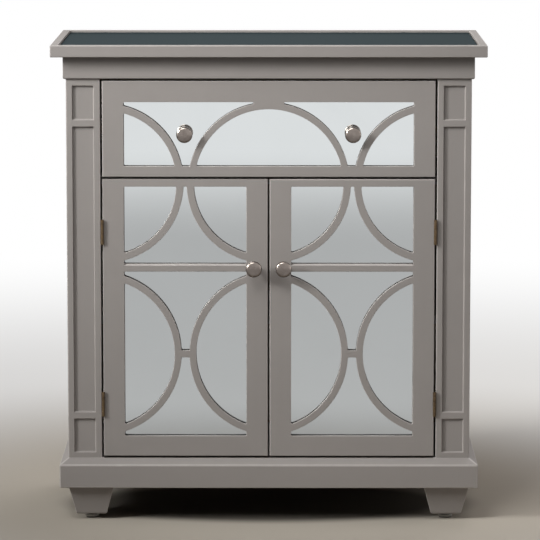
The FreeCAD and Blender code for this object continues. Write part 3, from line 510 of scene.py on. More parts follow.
def rounded(name, shape, width, weightOf=None):  # arrises of a given width on every sharp edge
    weights = shape.edges.layers.float.new("bevel_weight_edge")
    for edge in shape.edges:
        if len(edge.link_faces) == 2 and edge.calc_face_angle() > dressing["sharpAngle"]:
            edge[weights] = weightOf(middleOf(edge)) if weightOf else 1
    mesh = bpy.data.meshes.new(name)
    shape.to_mesh(mesh)
    shape.free()
    mesh.shade_smooth()
    piece = bpy.data.objects.new(name + "_shaping", mesh)
    scene.collection.objects.link(piece)
    bevel = piece.modifiers.new("arris", "BEVEL")
    bevel.limit_method = "WEIGHT"
    bevel.width = width
    bevel.segments = dressing["segments"]
    bevel.use_clamp_overlap = False
    bevel.material = 1
    cut = piece.modifiers.new("cut", "TRIANGULATE")
    cut.min_vertices = 5
    cut.ngon_method = "BEAUTY"
    mesh.materials.append(None)
    mesh.materials.append(None)
    mesh = settled(piece)
    cleaned(mesh)
    mesh.set_sharp_from_angle(angle=dressing["smoothAngle"])
    # the bevel's faces are marked: the paint lightens them as wear and as a painted highlight, and the glass
    # ends its silver there
    arris = mesh.attributes.new("arris", "FLOAT", "FACE")
    for face, value in zip(mesh.polygons, arris.data):
        value.value = face.material_index
        face.material_index = 0
    piece.modifiers.new("evenShading", "WEIGHTED_NORMAL").keep_sharp = True
    mesh = settled(piece)
    bpy.data.objects.remove(piece)
    mesh.name = name
    return mesh


def dressed(node, width, weightOf=None, reshape=None):
    shape = mergedShape(node)
    if reshape:
        reshape(shape)
    bmesh.ops.dissolve_limit(shape, angle_limit=dressing["flatAngle"], verts=shape.verts, edges=shape.edges)
    return addPiece(node + "_finish", rounded(node + "_finish", shape, width, weightOf), node)


camera = {
    "lens": 240,
    "sensor": 36,
    "distance": 6.565,  # in front of the top board's front edge
    "height": 1.385,
    "offset": 0.0276,
    "pitch": math.radians(7.88),  # downwards
    "yaw": math.radians(0.22),  # to the left
}


def addCamera(view):
    data = bpy.data.cameras.new("camera")
    data.lens = view["lens"]
    data.sensor_width = view["sensor"]
    item = bpy.data.objects.new("camera", data)
    item.location = (view["offset"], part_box("top_board")[0].y - view["distance"], view["height"])
    item.rotation_euler = (math.pi / 2 - view["pitch"], 0, view["yaw"])
    scene.collection.objects.link(item)
    scene.camera = item


lamps = {  # place, width and height, power in watts, spread and colour; each looks at the top of the object
    "windowLamp": ((-3.0, -1.85, 2.3), (0.8, 1.7), 12.8, math.radians(42), (0.985, 1.0, 0.985)),
    "overheadLamp": ((-0.6, -1.25, 2.45), (1.3, 1.3), 5.1, math.radians(54), (0.995, 1.0, 0.985)),
    "leftLamp": ((-3.1, -1.0, 1.7), (2.8, 2.8), 3.6, math.radians(84), (0.995, 1.0, 0.99)),
    "rightLamp": ((3.1, 0.35, 1.5), (2.2, 2.2), 15, math.radians(120), (1.0, 0.98, 0.96)),
    "roomLamp": ((2.7, -3.4, 2.1), (2.2, 2.2), 1.0, math.radians(110), (1.0, 0.98, 0.955)),
    "backLamp": ((1.2, 2.2, 3.4), (2.0, 2.0), 26, math.radians(140), (1.0, 0.99, 0.98)),
}


def addLamps():
    aim = Vector((0, 0, cadBounds[1][2]))
    for name, (place, size, power, spread, colour) in lamps.items():
        data = bpy.data.lights.new(name, "AREA")
        data.shape = "RECTANGLE"
        data.size, data.size_y = size
        data.energy = power
        data.spread = spread
        data.color = colour
        lamp = bpy.data.objects.new(name, data)
        lamp.location = place
        lamp.rotation_euler = (aim - lamp.location).to_track_quat("-Z", "Y").to_euler()
        scene.collection.objects.link(lamp)


studio = {
    "ambient": 0.085,  # what the surroundings give to matt surfaces
    "ambientColour": (1.0, 0.86, 0.78),  # warm, as from a wooden floor
    "floorColour": (0.405, 0.368, 0.320),
    "mottleNoise": (2.3, 4, 0.6),
    "mottle": 0.06,
    "grainNoise": (160, 3),
    "bump": (0.08, 0.5 * mm),
    "floorRoughness": 0.7,
    "floorUnder": 0.24,  # what the floor keeps of its colour under the object: a painted shadow
    "underReach": (0.30, 0.42),  # the painted shadow is full still under the object, and gone beside it
    "floorReach": 45.0,
    "paleness": 0.56,  # how much white is seen in the floor round the object
    "paleFrom": 0.42,
    "paleAt": 1.5,
    "whiteCentre": (0, -1.6, 0),  # from here the floor runs into the white
    "whiteFrom": 2.5,
    "whiteAt": 5.2,
}


def whiteRays(graph):
    rays = graph.node("ShaderNodeLightPath")
    seen = rays.output("Is Camera Ray")
    for kind in ("Is Glossy Ray", "Is Transmission Ray"):
        seen = seen.math("MAXIMUM", seen, rays.output(kind))
    return seen


def farness(graph, point, offset, start, end):  # 0 nearer than start, 1 past end
    distance = graph.node(
        "ShaderNodeVectorMath", {"operation": "DISTANCE"}, {0: point, 1: offset}, out="Value")
    return graph.node("ShaderNodeMapRange", {"interpolation_type": "SMOOTHSTEP"}, {
        "Value": distance, "From Min": start, "From Max": end})


def paleFloor(graph, look):
    point = graph.point()
    around = farness(graph, point, (0, 0, 0), look["paleFrom"], look["paleAt"]) * look["paleness"]
    away = farness(graph, point, look["whiteCentre"], look["whiteFrom"], look["whiteAt"])
    # the floor is darkened under and round the object: a painted shadow
    pastPaintedShadow = farness(graph, graph.stretched(point, (1, 2, 1)), (0, 0, 0), *look["underReach"])
    mottle = 1 + (graph.noise(point, *look["mottleNoise"]) - 0.5) * look["mottle"]
    tone = mottle * (look["floorUnder"] + pastPaintedShadow * (1 - look["floorUnder"]))
    matt = graph.shader(
        Base_Color=graph.scaled(look["floorColour"], tone),
        Roughness=look["floorRoughness"],
        Specular_IOR_Level=0.0,
        Normal=graph.bump(graph.noise(point, *look["grainNoise"]), *look["bump"]))
    white = graph.node("ShaderNodeEmission", sockets={"Color": (1, 1, 1, 1)})
    pale = around + away * (1 - around)
    return graph.node("ShaderNodeMixShader", sockets={0: pale * whiteRays(graph), 1: matt, 2: white})


def addStudio(look):
    world = bpy.data.worlds.new("studio")
    world.use_nodes = True
    graph = Graph(world.node_tree)
    white = whiteRays(graph)
    background = graph.node("ShaderNodeBackground", sockets={
        "Color": graph.mix(white, rgba(look["ambientColour"]), (1, 1, 1, 1)),
        "Strength": look["ambient"] + white * (1 - look["ambient"])})
    graph.node("ShaderNodeOutputWorld", sockets={"Surface": background})
    scene.world = world
    reach = look["floorReach"]
    mesh = bpy.data.meshes.new("floor")
    mesh.from_pydata([(-reach, -reach, 0), (reach, -reach, 0), (reach, reach, 0), (-reach, reach, 0)], [],
                     [(0, 1, 2, 3)])
    floor = bpy.data.objects.new("floor", mesh)
    floor.data.materials.append(makeMaterial("paleFloor", paleFloor, look))
    scene.collection.objects.link(floor)


addCamera(camera)
addLamps()
addStudio(studio)
scene.view_settings.view_transform = "Standard"
print("camera, lamps and floor placed")


def arc(centre, radius, start, end, steps):  # points on an arc, its ends in degrees
    angles = [math.radians(start + (end - start) * step / steps) for step in range(steps + 1)]
    return [(centre[0] + radius[0] * math.cos(angle), centre[1] + radius[1] * math.sin(angle))
            for angle in angles]


def mouldingShape(profile, half, frontY, backY):  # a profile led round the left, front and right side
    shape = bmesh.new()
    rings = [[shape.verts.new((side * (half + out), frontY - out if isFront else backY, up))
              for out, up in profile]
             for side, isFront in ((-1, False), (-1, True), (1, True), (1, False))]
    count = len(profile)
    for before, after in zip(rings, rings[1:]):
        for index in range(count):
            following = (index + 1) % count
            shape.faces.new((before[index], after[index], after[following], before[following]))
    shape.faces.new(rings[0])
    shape.faces.new(rings[-1][::-1])
    bmesh.ops.recalc_face_normals(shape, faces=shape.faces)
    return shape


frieze = {"lowerRound": 3 * mm, "steps": 6, "arris": 0.6 * mm}
plinth = {"arris": 2.4 * mm, "backArris": 0.3}


def makeFrieze(look):
    low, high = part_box("frieze_front")
    thick = high.y - low.y
    radius = look["lowerRound"]
    profile = arc((thick - radius, low.z + radius), (radius, radius), -90, 0, look["steps"])
    profile += [(thick, high.z), (0, high.z), (0, low.z)]
    shape = mouldingShape(profile, high.x - thick, high.y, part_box("frieze_left")[1].y)
    piece = addPiece("frieze_finish", rounded("frieze_finish", shape, look["arris"]), "frieze_front")
    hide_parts("frieze_left", "frieze_right")


def makePlinth(look):
    low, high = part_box("plinth_front")
    thick = high.y - low.y
    slopeFoot = sorted({round(vertex.co.z, 5) for vertex in nodes["plinth_front"].data.vertices})[1]
    profile = [(0, low.z), (thick, low.z), (thick, slopeFoot), (0, high.z)]
    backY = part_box("plinth_left")[1].y
    shape = mouldingShape(profile, high.x - thick, high.y, backY)

    def weight(middle):
        isBack = middle.y > backY - thick
        isInside = abs(middle.x) < high.x - thick + mm and middle.y > high.y - mm
        return look["backArris"] if isBack or isInside else 1

    piece = addPiece("plinth_finish", rounded("plinth_finish", shape, look["arris"], weight), "plinth_front")
    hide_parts("plinth_left", "plinth_right")


closeness = 0.05 * mm


def near(value, target):
    return abs(value - target) < closeness


topBoard = {"arris": 0.55 * mm}
sidePanel = {"arris": 0.5 * mm}
pilaster = {
    "arris": 1.7 * mm,
    "panelArris": 0.3,
    "panelReach": 5 * mm,  # deeper than the sunken panels, but not as deep as the screw holes
    "slopeReach": 5 * mm,  # levels nearer to each other than this belong to one slope
    "steeper": 1.6 * mm,  # how much narrower the slopes are than the solid's
}


def makePilaster(side, look):
    node = "pilaster_" + side
    low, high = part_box(node)

    def weight(middle):
        if near(middle.y, high.y) or near(middle.z, low.z) or near(middle.z, high.z):
            return 0  # joints under the paint
        return 1 if near(middle.y, low.y) and (near(middle.x, low.x) or near(middle.x, high.x)) \
            else look["panelArris"]

    def steepen(shape):  # the slopes round the sunken panels
        inside = [vertex for vertex in shape.verts if low.y + mm < vertex.co.y < low.y + look["panelReach"]]
        depth = max(vertex.co.y for vertex in inside) - low.y
        levels = []
        for height in sorted(vertex.co.z for vertex in inside):
            if not levels or height - levels[-1] > look["slopeReach"]:
                levels.append(height)
        middleX = (low.x + high.x) / 2
        for vertex in inside:
            share = (vertex.co.y - low.y) / depth
            nearest = min(levels, key=lambda level: abs(level - vertex.co.z))
            rising = levels.index(nearest) % 2 == 0
            if abs(vertex.co.x - middleX) > mm:  # not the points halfway along a slope
                vertex.co.x -= look["steeper"] * share * (1 if vertex.co.x < middleX else -1)
            vertex.co.z -= look["steeper"] * share * (1 if rising else -1)

    dressed(node, look["arris"], weight, steepen)


def makeSidePanel(side, look):
    node = "side_panel_" + side
    low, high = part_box(node)

    def weight(middle):
        return 0 if near(middle.y, low.y) or near(middle.z, low.z) or near(middle.z, high.z) else 1

    dressed(node, look["arris"], weight)


makeFrieze(frieze)
makePlinth(plinth)
dressed("top_board", topBoard["arris"])
for side in ("left", "right"):
    makePilaster(side, pilaster)
    makeSidePanel(side, sidePanel)
print("top board, frieze, pilasters, sides and plinth finished")

fronts = {
    "arris": 1.7 * mm,
    "fretArris": 0.45,
    "rearArris": 0.5,
    "holeArris": 0.1,
    "highlightLeaning": 0.6,  # least share of a chamfer's normal, up and forwards, for the chamfers given a painted highlight
    "facingBack": 0.9,
    "chamferFrom": 2.5 * mm,  # depths between which only the cross bar's chamfer has corners
    "chamferTo": 3.0 * mm,
    "chamferEnd": 3.2 * mm,
    "knobFoot": 7.5 * mm,  # no arris on the screw hole that a knob covers
    "doorPlaned": 1.0 * mm,  # off the doors' upper and lower edges, for clear gaps
    "sidePlaned": 0.5 * mm,  # off the drawer's and the doors' edges beside the pilasters
}
knobCentres = [sum(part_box(name), Vector()) / 2 for name in nodes if "_knob" in name]


def underKnob(point, reach):
    return any(math.hypot(point.x - centre.x, point.z - centre.z) < reach for centre in knobCentres)


def makeFront(node, look):
    low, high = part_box(node)
    planed = look["doorPlaned"] if node.startswith("door") else 0
    widest = max(high.x, -low.x)
    rim = [x - math.copysign(look["sidePlaned"], x) if near(abs(x), widest) else x
           for x in (low.x, high.x)]
    bottom, top = low.z + planed, high.z - planed
    chamfer = [vertex.co for vertex in nodes[node].data.vertices
               if low.y + look["chamferFrom"] < vertex.co.y < low.y + look["chamferTo"]]

    def weight(middle):
        onChamfer = any((middle - point).length < look["chamferEnd"] for point in chamfer)
        if onChamfer or underKnob(middle, look["knobFoot"]):
            return 0
        atRim = min(middle.x - rim[0], rim[1] - middle.x, middle.z - bottom, top - middle.z) < closeness
        if near(middle.y, low.y):
            return 1 if atRim else look["fretArris"]
        return look["rearArris"] if near(middle.y, high.y) and atRim else look["holeArris"]

    def plane(shape):
        for vertex in shape.verts:
            if near(vertex.co.z, low.z):
                vertex.co.z = bottom
            elif near(vertex.co.z, high.z):
                vertex.co.z = top
            if near(abs(vertex.co.x), widest):
                vertex.co.x = rim[vertex.co.x > 0]

    mesh = dressed(node, look["arris"], weight, plane).data
    arris = mesh.attributes["arris"].data
    raw = mesh.attributes.new("raw", "FLOAT", "FACE").data
    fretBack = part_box(node.replace("_front", "_mirror").replace("_frame", "_mirror"))[0].y - mm
    for index, face in enumerate(mesh.polygons):
        # chamfers that face up and forwards, towards the lamps, get the lighter arris tone: a painted
        # highlight
        if face.normal.z > look["highlightLeaning"] and face.normal.y < -look["highlightLeaning"]:
            arris[index].value = 1
        # the backs of the frets, seen in the mirror, are darkened: painted shade
        raw[index].value = face.normal.y > look["facingBack"] and face.center.y < fretBack


glass = {"silverDepth": 2.7 * mm, "arris": 0.4 * mm}  # how deep the silvering seems to lie in the glass
topGlass = {"silverDepth": 2.2 * mm, "arris": 1.7 * mm}


def makeMirror(node, look, axis, front):
    silver = front + look["silverDepth"] * (1 if axis == 1 else -1)

    def weight(middle):
        return 1 if near(middle[axis], silver) else 0

    def sink(shape):
        for vertex in shape.verts:
            if near(vertex.co[axis], front):
                vertex.co[axis] = silver

    dressed(node, look["arris"], weight, sink)


for name in ("drawer_front", "door_left_frame", "door_right_frame"):
    makeFront(name, fronts)
for name in ("drawer_mirror", "door_left_mirror", "door_right_mirror"):
    makeMirror(name, glass, 1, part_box(name)[0].y)
makeMirror("top_mirror", topGlass, 2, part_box("top_mirror")[1].z)
print("fretted fronts and mirrors finished")

boards = {  # arris of each plain piece in mm
    "bottom_panel": 0.6,
    "drawer_divider": 0.6,
    "back_panel": 0.2,
    "shelf": 0.8,
    "shelf_pins": 0.3,
    "frieze_back": 0.6,
    "plinth_back": 0.6,
    "foot_corner_blocks": 0.8,
    "runner_packers": 0.8,
    "drawer_runner_left": 0.8,
    "drawer_runner_right": 0.8,
    "drawer_backing": 0.2,
    "door_left_backing": 0.2,
    "door_right_backing": 0.2,
    "drawer_box_front": 0.8,
    "drawer_side_left": 0.8,
    "drawer_side_right": 0.8,
    "drawer_box_back": 0.8,
    "drawer_bottom": 0.2,
    "foot_front_left": 1.3,
    "foot_front_right": 1.3,
    "foot_back_left": 1.3,
    "foot_back_right": 1.3,
    "hinge_frame_leaves": 0.16,
    "door_left_hinge_leaves": 0.16,
    "door_right_hinge_leaves": 0.16,
    "hinge_pins": 0.2,
    "door_left_strike_plate": 0.3,
    "door_right_strike_plate": 0.3,
    "door_catches": 0.8,
}
sill = {"reach": 16 * mm, "depth": 3 * mm, "end": 2 * mm}


def lowerSill(shape):  # under the closed doors the cupboard's floor falls away to the front
    low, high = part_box("bottom_panel")
    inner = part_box("door_right_frame")[1].x
    ends = (inner, inner - sill["end"])
    cuts = [((x * side, 0, 0), (1, 0, 0)) for x in ends for side in (-1, 1)]
    for place, normal in cuts + [((0, low.y + sill["reach"], 0), (0, 1, 0))]:
        bmesh.ops.bisect_plane(shape, geom=shape.verts[:] + shape.edges[:] + shape.faces[:],
                               plane_co=place, plane_no=normal, dist=dressing["mergeDistance"])
    for vertex in shape.verts:
        if near(vertex.co.z, high.z) and near(vertex.co.y, low.y) and abs(vertex.co.x) < inner - mm:
            vertex.co.z -= sill["depth"]


def thickenLeaves(shape):  # the doors' hinge leaves reach their planed edges
    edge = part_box("door_right_frame")[1].x
    for vertex in shape.verts:
        if near(abs(vertex.co.x), edge):
            vertex.co.x -= math.copysign(fronts["sidePlaned"], vertex.co.x)


reshapes = {
    "bottom_panel": lowerSill,
    "door_left_hinge_leaves": thickenLeaves,
    "door_right_hinge_leaves": thickenLeaves,
}
for name, width in boards.items():
    dressed(name, width * mm, reshape=reshapes.get(name))
print("boards, feet, hinges and drawer box finished")

knob = {
    "radius": 15 * mm,
    "length": 27 * mm,
    "rimRadius": 5.0 * mm,
    "rimLevel": 21.6 * mm,  # of the rim's widest place above the base
    "neckRadius": 5.5 * mm,
    "flangeRadius": 8 * mm,
    "flangeThick": 3 * mm,
    "edgeRound": 0.6 * mm,
    "lipFlatness": 0.62,
    "steps": {"edge": 4, "cove": 8, "lip": 12, "rim": 14, "dome": 16},
    "segments": 72,
}


def knobProfile(look, sunk):  # (radius, height) from the base's middle to the dome's top
    rim = look["rimRadius"]
    rimCentre = look["radius"] - rim
    rise = look["length"] - look["rimLevel"]
    domeRadius = (rimCentre ** 2 + rise ** 2 - rim ** 2) / (2 * (rise - rim))
    domeCentre = look["length"] - domeRadius
    meeting = math.degrees(math.atan2(look["rimLevel"] - domeCentre, rimCentre))
    edge = look["edgeRound"]
    flange = look["flangeRadius"]
    neck = look["neckRadius"]
    top = look["flangeThick"]
    cove = flange - neck - edge
    lip = rimCentre - neck
    lipRise = lip * look["lipFlatness"]
    steps = look["steps"]
    points = [(0, -sunk), (flange, -sunk)]
    points += arc((flange - edge, top - edge), (edge, edge), 0, 90, steps["edge"])
    points += arc((neck + cove, top + cove), (cove, cove), 270, 180, steps["cove"])
    points += arc((rimCentre, look["rimLevel"] - rim - lipRise), (lip, lipRise), 180, 90, steps["lip"])
    points += arc((rimCentre, look["rimLevel"]), (rim, rim), -90, meeting, steps["rim"])[1:]
    points += arc((0, domeCentre), (domeRadius, domeRadius), meeting, 90, steps["dome"])[1:]
    return points


def spun(shape, verts, centre, axis, segments):
    edges = [shape.edges.new(pair) for pair in zip(verts, verts[1:])]
    bmesh.ops.spin(shape, geom=verts + edges, cent=centre, axis=axis, angle=2 * math.pi, steps=segments)


def turnedMesh(name, shape):  # one closed smooth mesh out of what was spun
    bmesh.ops.remove_doubles(shape, verts=shape.verts, dist=dressing["mergeDistance"])
    bmesh.ops.recalc_face_normals(shape, faces=shape.faces)
    mesh = bpy.data.meshes.new(name)
    shape.to_mesh(mesh)
    shape.free()
    mesh.shade_smooth()
    mesh.set_sharp_from_angle(angle=dressing["smoothAngle"])
    return mesh


def lathed(name, profile, centre, segments):  # turned about an axis that runs forwards from a centre
    shape = bmesh.new()
    spun(shape, [shape.verts.new((radius, -height, 0)) for radius, height in profile],
         (0, 0, 0), (0, 1, 0), segments)
    bmesh.ops.translate(shape, verts=shape.verts, vec=centre)
    mesh = turnedMesh(name, shape)
    radii = mesh.attributes.new("radius", "FLOAT", "POINT").data
    for vertex, radius in zip(mesh.vertices, radii):
        radius.value = math.hypot(vertex.co.x - centre.x, vertex.co.z - centre.z)
    return mesh


def makeKnob(node, look, sunk):
    low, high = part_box(node)
    centre = Vector(((low.x + high.x) / 2, high.y, (low.z + high.z) / 2))
    name = node + "_finish"
    addPiece(name, lathed(name, knobProfile(look, sunk), centre, look["segments"]), node)


for name in ("drawer_knob_left", "drawer_knob_right"):
    makeKnob(name, knob, glass["silverDepth"])
for name in ("door_left_knob", "door_right_knob"):
    makeKnob(name, knob, 0)
print("knobs turned")


def islands(node):  # the separate solids of a node, each as its points
    shape = mergedShape(node)
    left = set(shape.verts)
    found = []
    for first in shape.verts:  # in their order, so that every run finds the solids in one order
        if first not in left:
            continue
        left.remove(first)
        reached = [first]
        points = []
        while reached:
            vertex = reached.pop()
            points.append(vertex.co.copy())
            for edge in vertex.link_edges:
                other = edge.other_vert(vertex)
                if other in left:
                    left.remove(other)
                    reached.append(other)
        found.append(points)
    shape.free()
    return found


def extent(points):
    return [Vector([pick(point[axis] for point in points) for axis in range(3)]) for pick in (min, max)]


rimShare = 0.98  # of a head's radius, for the points on its rim


def fastenerFacts(points):  # where a screw or pin stands, which way its head looks, and its sizes
    low, high = extent(points)
    size = high - low
    axis = max(range(3), key=lambda index: size[index])
    middle = (low + high) / 2

    def radial(point):
        offset = point - middle
        offset[axis] = 0
        return offset.length

    ends = [max(radial(point) for point in points if near(point[axis], end[axis])) for end in (low, high)]
    headUp = ends[1] > ends[0]
    direction = Vector((0, 0, 0))
    direction[axis] = 1 if headUp else -1
    face = middle.copy()
    face[axis] = high[axis] if headUp else low[axis]
    widest = max(ends)
    levels = [abs(point[axis] - face[axis]) for point in points if radial(point) > widest * rimShare]
    return {"face": face, "direction": direction, "headRadius": widest, "shankRadius": min(ends),
            "length": size[axis], "rimDepth": max(levels)}


class Tree(Graph):  # a Geometry Nodes tree with named inputs
    def __init__(self, name, inputs):
        tree = bpy.data.node_groups.new(name, "GeometryNodeTree")
        super().__init__(tree)
        tree.interface.new_socket("Geometry", in_out="INPUT", socket_type="NodeSocketGeometry")
        for label, kind in inputs.items():
            tree.interface.new_socket(label, in_out="INPUT", socket_type="NodeSocket" + kind)
        tree.interface.new_socket("Geometry", in_out="OUTPUT", socket_type="NodeSocketGeometry")
        self.entry = tree.nodes.new("NodeGroupInput")

    def input(self, label):
        return Value(self, self.entry.outputs[label])

    def vector(self, x=0.0, y=0.0, z=0.0):
        return self.node("ShaderNodeCombineXYZ", sockets={"X": x, "Y": y, "Z": z})

    def moved(self, geometry, **offset):
        return self.node("GeometryNodeTransform", sockets={
            "Geometry": geometry, "Translation": self.vector(**offset)})

    def cone(self, sides, top, bottom, depth):
        return self.node("GeometryNodeMeshCone", {"fill_type": "NGON"}, {
            "Vertices": sides, "Radius Top": top, "Radius Bottom": bottom, "Depth": depth})

    def solid(self, operation, sockets):  # a closed shape out of closed shapes
        return self.node("GeometryNodeMeshBoolean", {"operation": operation, "solver": "MANIFOLD"}, sockets)

    def planted(self, item, seed=None):  # the item on every point, looking the point's way
        facing = self.node(
            "GeometryNodeInputNamedAttribute", {"data_type": "FLOAT_VECTOR"}, {"Name": "facing"})
        turn = self.node("FunctionNodeAlignRotationToVector", {"axis": "Z"}, {"Vector": facing})
        if seed:
            spin = self.node("FunctionNodeRandomValue", {"data_type": "FLOAT"}, {
                2: 0.0, 3: math.pi, "Seed": seed}, out=1)
            turn = self.node("FunctionNodeRotateRotation", {"rotation_space": "LOCAL"}, {
                "Rotation": turn,
                "Rotate By": self.node("FunctionNodeEulerToRotation", sockets={0: self.vector(z=spin)})})
        placed = self.node("GeometryNodeInstanceOnPoints", sockets={
            "Points": self.input("Geometry"), "Instance": item, "Rotation": turn})
        real = self.node("GeometryNodeRealizeInstances", sockets={0: placed})
        self.node("NodeGroupOutput", sockets={"Geometry": self.node("GeometryNodeSetMaterial", sockets={
            "Geometry": real, "Material": self.input("Material")})})
        return self.tree


def screwTree(look):
    tree = Tree("screws", {
        "Top radius": "Float", "Bottom radius": "Float", "Head depth": "Float",
        "Shank radius": "Float", "Shank length": "Float",
        "Slot reach": "Float", "Slot width": "Float", "Slot depth": "Float",
        "Seed": "Int", "Material": "Material"})
    depth = tree.input("Head depth")
    radius = tree.input("Shank radius")
    length = tree.input("Shank length")
    head = tree.cone(look["headSides"], tree.input("Top radius"), tree.input("Bottom radius"), depth)
    shank = tree.cone(look["shankSides"], radius, radius * look["tip"], length + depth * look["intoHead"])
    whole = tree.solid("UNION", {
        "Mesh 2": [tree.moved(head, z=depth * -1), tree.moved(shank, z=(length + depth) * -1)]})
    reach = tree.input("Slot reach") * 2
    width = tree.input("Slot width")
    height = tree.input("Slot depth") * 2
    bars = [tree.node("GeometryNodeMeshCube", sockets={"Size": tree.vector(x, y, height)})
            for x, y in ((reach, width), (width, reach))]
    slots = tree.solid("UNION", {"Mesh 2": bars})
    screw = tree.solid("DIFFERENCE", {"Mesh 1": whole, "Mesh 2": slots})
    return tree.planted(screw, tree.input("Seed"))


def pinTree(look):
    tree = Tree("panelPins", {
        "Head radius": "Float", "Head thickness": "Float", "Pin radius": "Float", "Pin length": "Float",
        "Material": "Material"})
    thickness = tree.input("Head thickness")
    width = tree.input("Head radius")
    radius = tree.input("Pin radius")
    length = tree.input("Pin length")
    head = tree.cone(look["headSides"], width * look["headTop"], width, thickness)
    pin = tree.cone(look["pinSides"], radius, radius * look["tip"], length)
    nail = tree.solid("UNION", {"Mesh 2": [head, tree.moved(pin, z=length * -1 + thickness * 0.5)]})
    return tree.planted(nail)


def grown(name, tree, places, values):  # runs a tree on points that face given ways
    mesh = bpy.data.meshes.new(name + "_points")
    mesh.from_pydata([place for place, _ in places], [], [])
    facing = mesh.attributes.new("facing", "FLOAT_VECTOR", "POINT")
    for index, (_, direction) in enumerate(places):
        facing.data[index].vector = direction
    piece = bpy.data.objects.new(name + "_points", mesh)
    scene.collection.objects.link(piece)
    modifier = piece.modifiers.new("grow", "NODES")
    modifier.node_group = tree
    for socket in tree.interface.items_tree:
        if socket.in_out == "INPUT" and socket.name in values:
            modifier[socket.identifier] = values[socket.name]
    result = settled(piece)
    result.name = name
    cleaned(result)
    result.set_sharp_from_angle(angle=dressing["smoothAngle"])
    bpy.data.objects.remove(piece)
    return result


screws = {
    "slotReach": 0.62,  # shares of the head's radius
    "slotWidth": 0.26,
    "slotDepth": 0.42,
    "panTop": 0.74,
    "panFrom": 0.4 * mm,  # a rim deeper than this belongs to a round head
    "sunkSlot": 1.6,  # how much deeper the slots of the other heads are
    "tip": 0.8,  # share of the shank's radius
    "intoHead": 0.3,  # share of the head's depth
    "headSides": 28,
    "shankSides": 20,
    "seed": 7,
}


def makeScrews(node, look, tree, slot):
    groups = {}
    for points in islands(node):
        facts = fastenerFacts(points)
        key = (round(facts["headRadius"], 4), round(facts["length"], 4))
        groups.setdefault(key, []).append(facts)
    for number, (key, group) in enumerate(sorted(groups.items())):
        facts = group[0]
        head = facts["headRadius"]
        isPan = facts["rimDepth"] > look["panFrom"]
        depth = facts["rimDepth"] if isPan else head - facts["shankRadius"]
        top = head * (look["panTop"] if isPan else 1)
        places = [(fact["face"], fact["direction"]) for fact in group]
        mesh = grown(f"{node}_finish_{number + 1}", tree, places, {
            "Top radius": top,
            "Bottom radius": head if isPan else facts["shankRadius"],
            "Head depth": depth,
            "Shank radius": facts["shankRadius"],
            "Shank length": facts["length"] - depth,
            "Slot reach": top * look["slotReach"],
            "Slot width": head * look["slotWidth"],
            "Slot depth": depth * look["slotDepth"] * (1 if isPan else look["sunkSlot"]),
            "Seed": look["seed"] + number,
            "Material": materials[slot]})
        addPiece(mesh.name, mesh, node, materials[slot])


panelPins = {
    "headRadius": 1.7 * mm,
    "headThickness": 0.35 * mm,
    "headTop": 0.72,  # shares of the radius
    "tip": 0.3,
    "headSides": 20,
    "pinSides": 12,
}


def makePanelPins(look):
    node = "back_panel_pins"
    facts = [fastenerFacts(points) for points in islands(node)]
    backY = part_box(node)[1].y
    places = [(Vector((fact["face"].x, backY, fact["face"].z)), Vector((0, 1, 0))) for fact in facts]
    mesh = grown(node + "_finish", pinTree(look), places, {
        "Head radius": look["headRadius"],
        "Head thickness": look["headThickness"],
        "Pin radius": facts[0]["shankRadius"],
        "Pin length": facts[0]["length"],
        "Material": materials["steel"]})
    addPiece(mesh.name, mesh, node, materials["steel"])


screwShape = screwTree(screws)
makeScrews("hinge_frame_screws", screws, screwShape, "antique_brass")
for name in ("door_left_screws", "door_right_screws", "drawer_screws"):
    makeScrews(name, screws, screwShape, "steel")
makePanelPins(panelPins)
print("screws and panel pins set")

glide = {
    "sole": 1.5 * mm,  # the black sole under the pad: a felt layer whose black is also painted contact shade at the floor
    "padRound": 1.2 * mm,
    "roundSteps": 6,
    "soleEdge": 0.4,  # how much of the rounding the sole's upper edge keeps
    "plateDish": 0.5 * mm,
    "segments": 56,
}


def discMesh(name, profile, centres, segments):  # one turned disc at each centre, about the upright
    shape = bmesh.new()
    for centre in centres:
        spun(shape, [shape.verts.new((centre.x + radius, centre.y, height)) for radius, height in profile],
             (centre.x, centre.y, 0), (0, 0, 1), segments)
    return turnedMesh(name, shape)


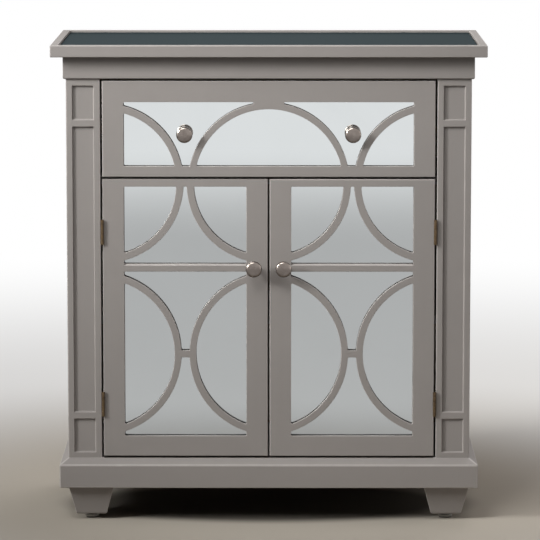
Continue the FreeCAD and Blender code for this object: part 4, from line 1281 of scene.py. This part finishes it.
def makeGlides(look):
    node = "foot_glides"
    solids = islands(node)
    centres = [sum(extent(points), Vector()) / 2 for points in solids]
    levels = sorted({round(point.z, 5) for point in solids[0]})
    radii = {level: max(math.hypot(point.x - centres[0].x, point.y - centres[0].y)
                        for point in solids[0] if near(point.z, level)) for level in levels}
    floorZ, plateZ, footZ, pinZ = levels
    padRadius = radii[floorZ]
    plateRadius = min(radii[footZ], padRadius)
    pinRadius = radii[pinZ]
    soft = look["padRound"]
    soleZ = floorZ + look["sole"]
    soleRadius = padRadius - soft * look["soleEdge"]
    sole = [(0, floorZ), (padRadius - soft, floorZ), (soleRadius, soleZ), (0, soleZ)]
    pad = [(0, soleZ), (soleRadius, soleZ)]
    pad += arc((padRadius - soft, plateZ - soft), (soft, soft), 0, 90, look["roundSteps"]) + [(0, plateZ)]
    dish = look["plateDish"]
    plate = [(0, plateZ), (plateRadius - dish, plateZ), (plateRadius, plateZ + dish),
             (plateRadius, footZ - dish), (plateRadius - dish, footZ),
             (pinRadius, footZ), (pinRadius, pinZ), (0, pinZ)]
    # the plate in the gap under the foot is black as painted shade for that gap, and the sole's black is
    # partly painted contact shade
    for name, profile, finish in (("foot_glide_soles", sole, "black_plastic"),
                                  ("foot_glide_pads", pad, "pad"),
                                  ("foot_glide_shaded_plates", plate, "black_plastic")):
        addPiece(name, discMesh(name, profile, centres, look["segments"]), node, materials[finish])


makeGlides(glide)
print("glides finished")

polePlates = {
    "thick": 1.4 * mm,
    "deep": 4.2 * mm,
    "proud": 0.25 * mm,
    "apart": 5.5 * mm,
    "margin": 2.5 * mm,
    "arris": 0.2 * mm,
}


def makeCatchPoles(look):  # the two steel plates that show in the front of each magnetic catch
    shape = bmesh.new()
    for points in islands("door_catches"):
        low, high = extent(points)
        middleZ = (low.z + high.z) / 2
        for offset in (-look["apart"] / 2, look["apart"] / 2):
            size = Vector((high.x - low.x - 2 * look["margin"], look["deep"], look["thick"]))
            centre = Vector(((low.x + high.x) / 2, low.y - look["proud"] + size.y / 2, middleZ + offset))
            made = bmesh.ops.create_cube(shape, size=1)["verts"]
            for vertex in made:
                vertex.co = Vector([centre[axis] + vertex.co[axis] * size[axis] for axis in range(3)])
    mesh = rounded("door_catch_poles", shape, look["arris"])
    addPiece("door_catch_poles", mesh, "door_catches", materials["steel"], stands=False)


makeCatchPoles(polePlates)
print("catches finished")
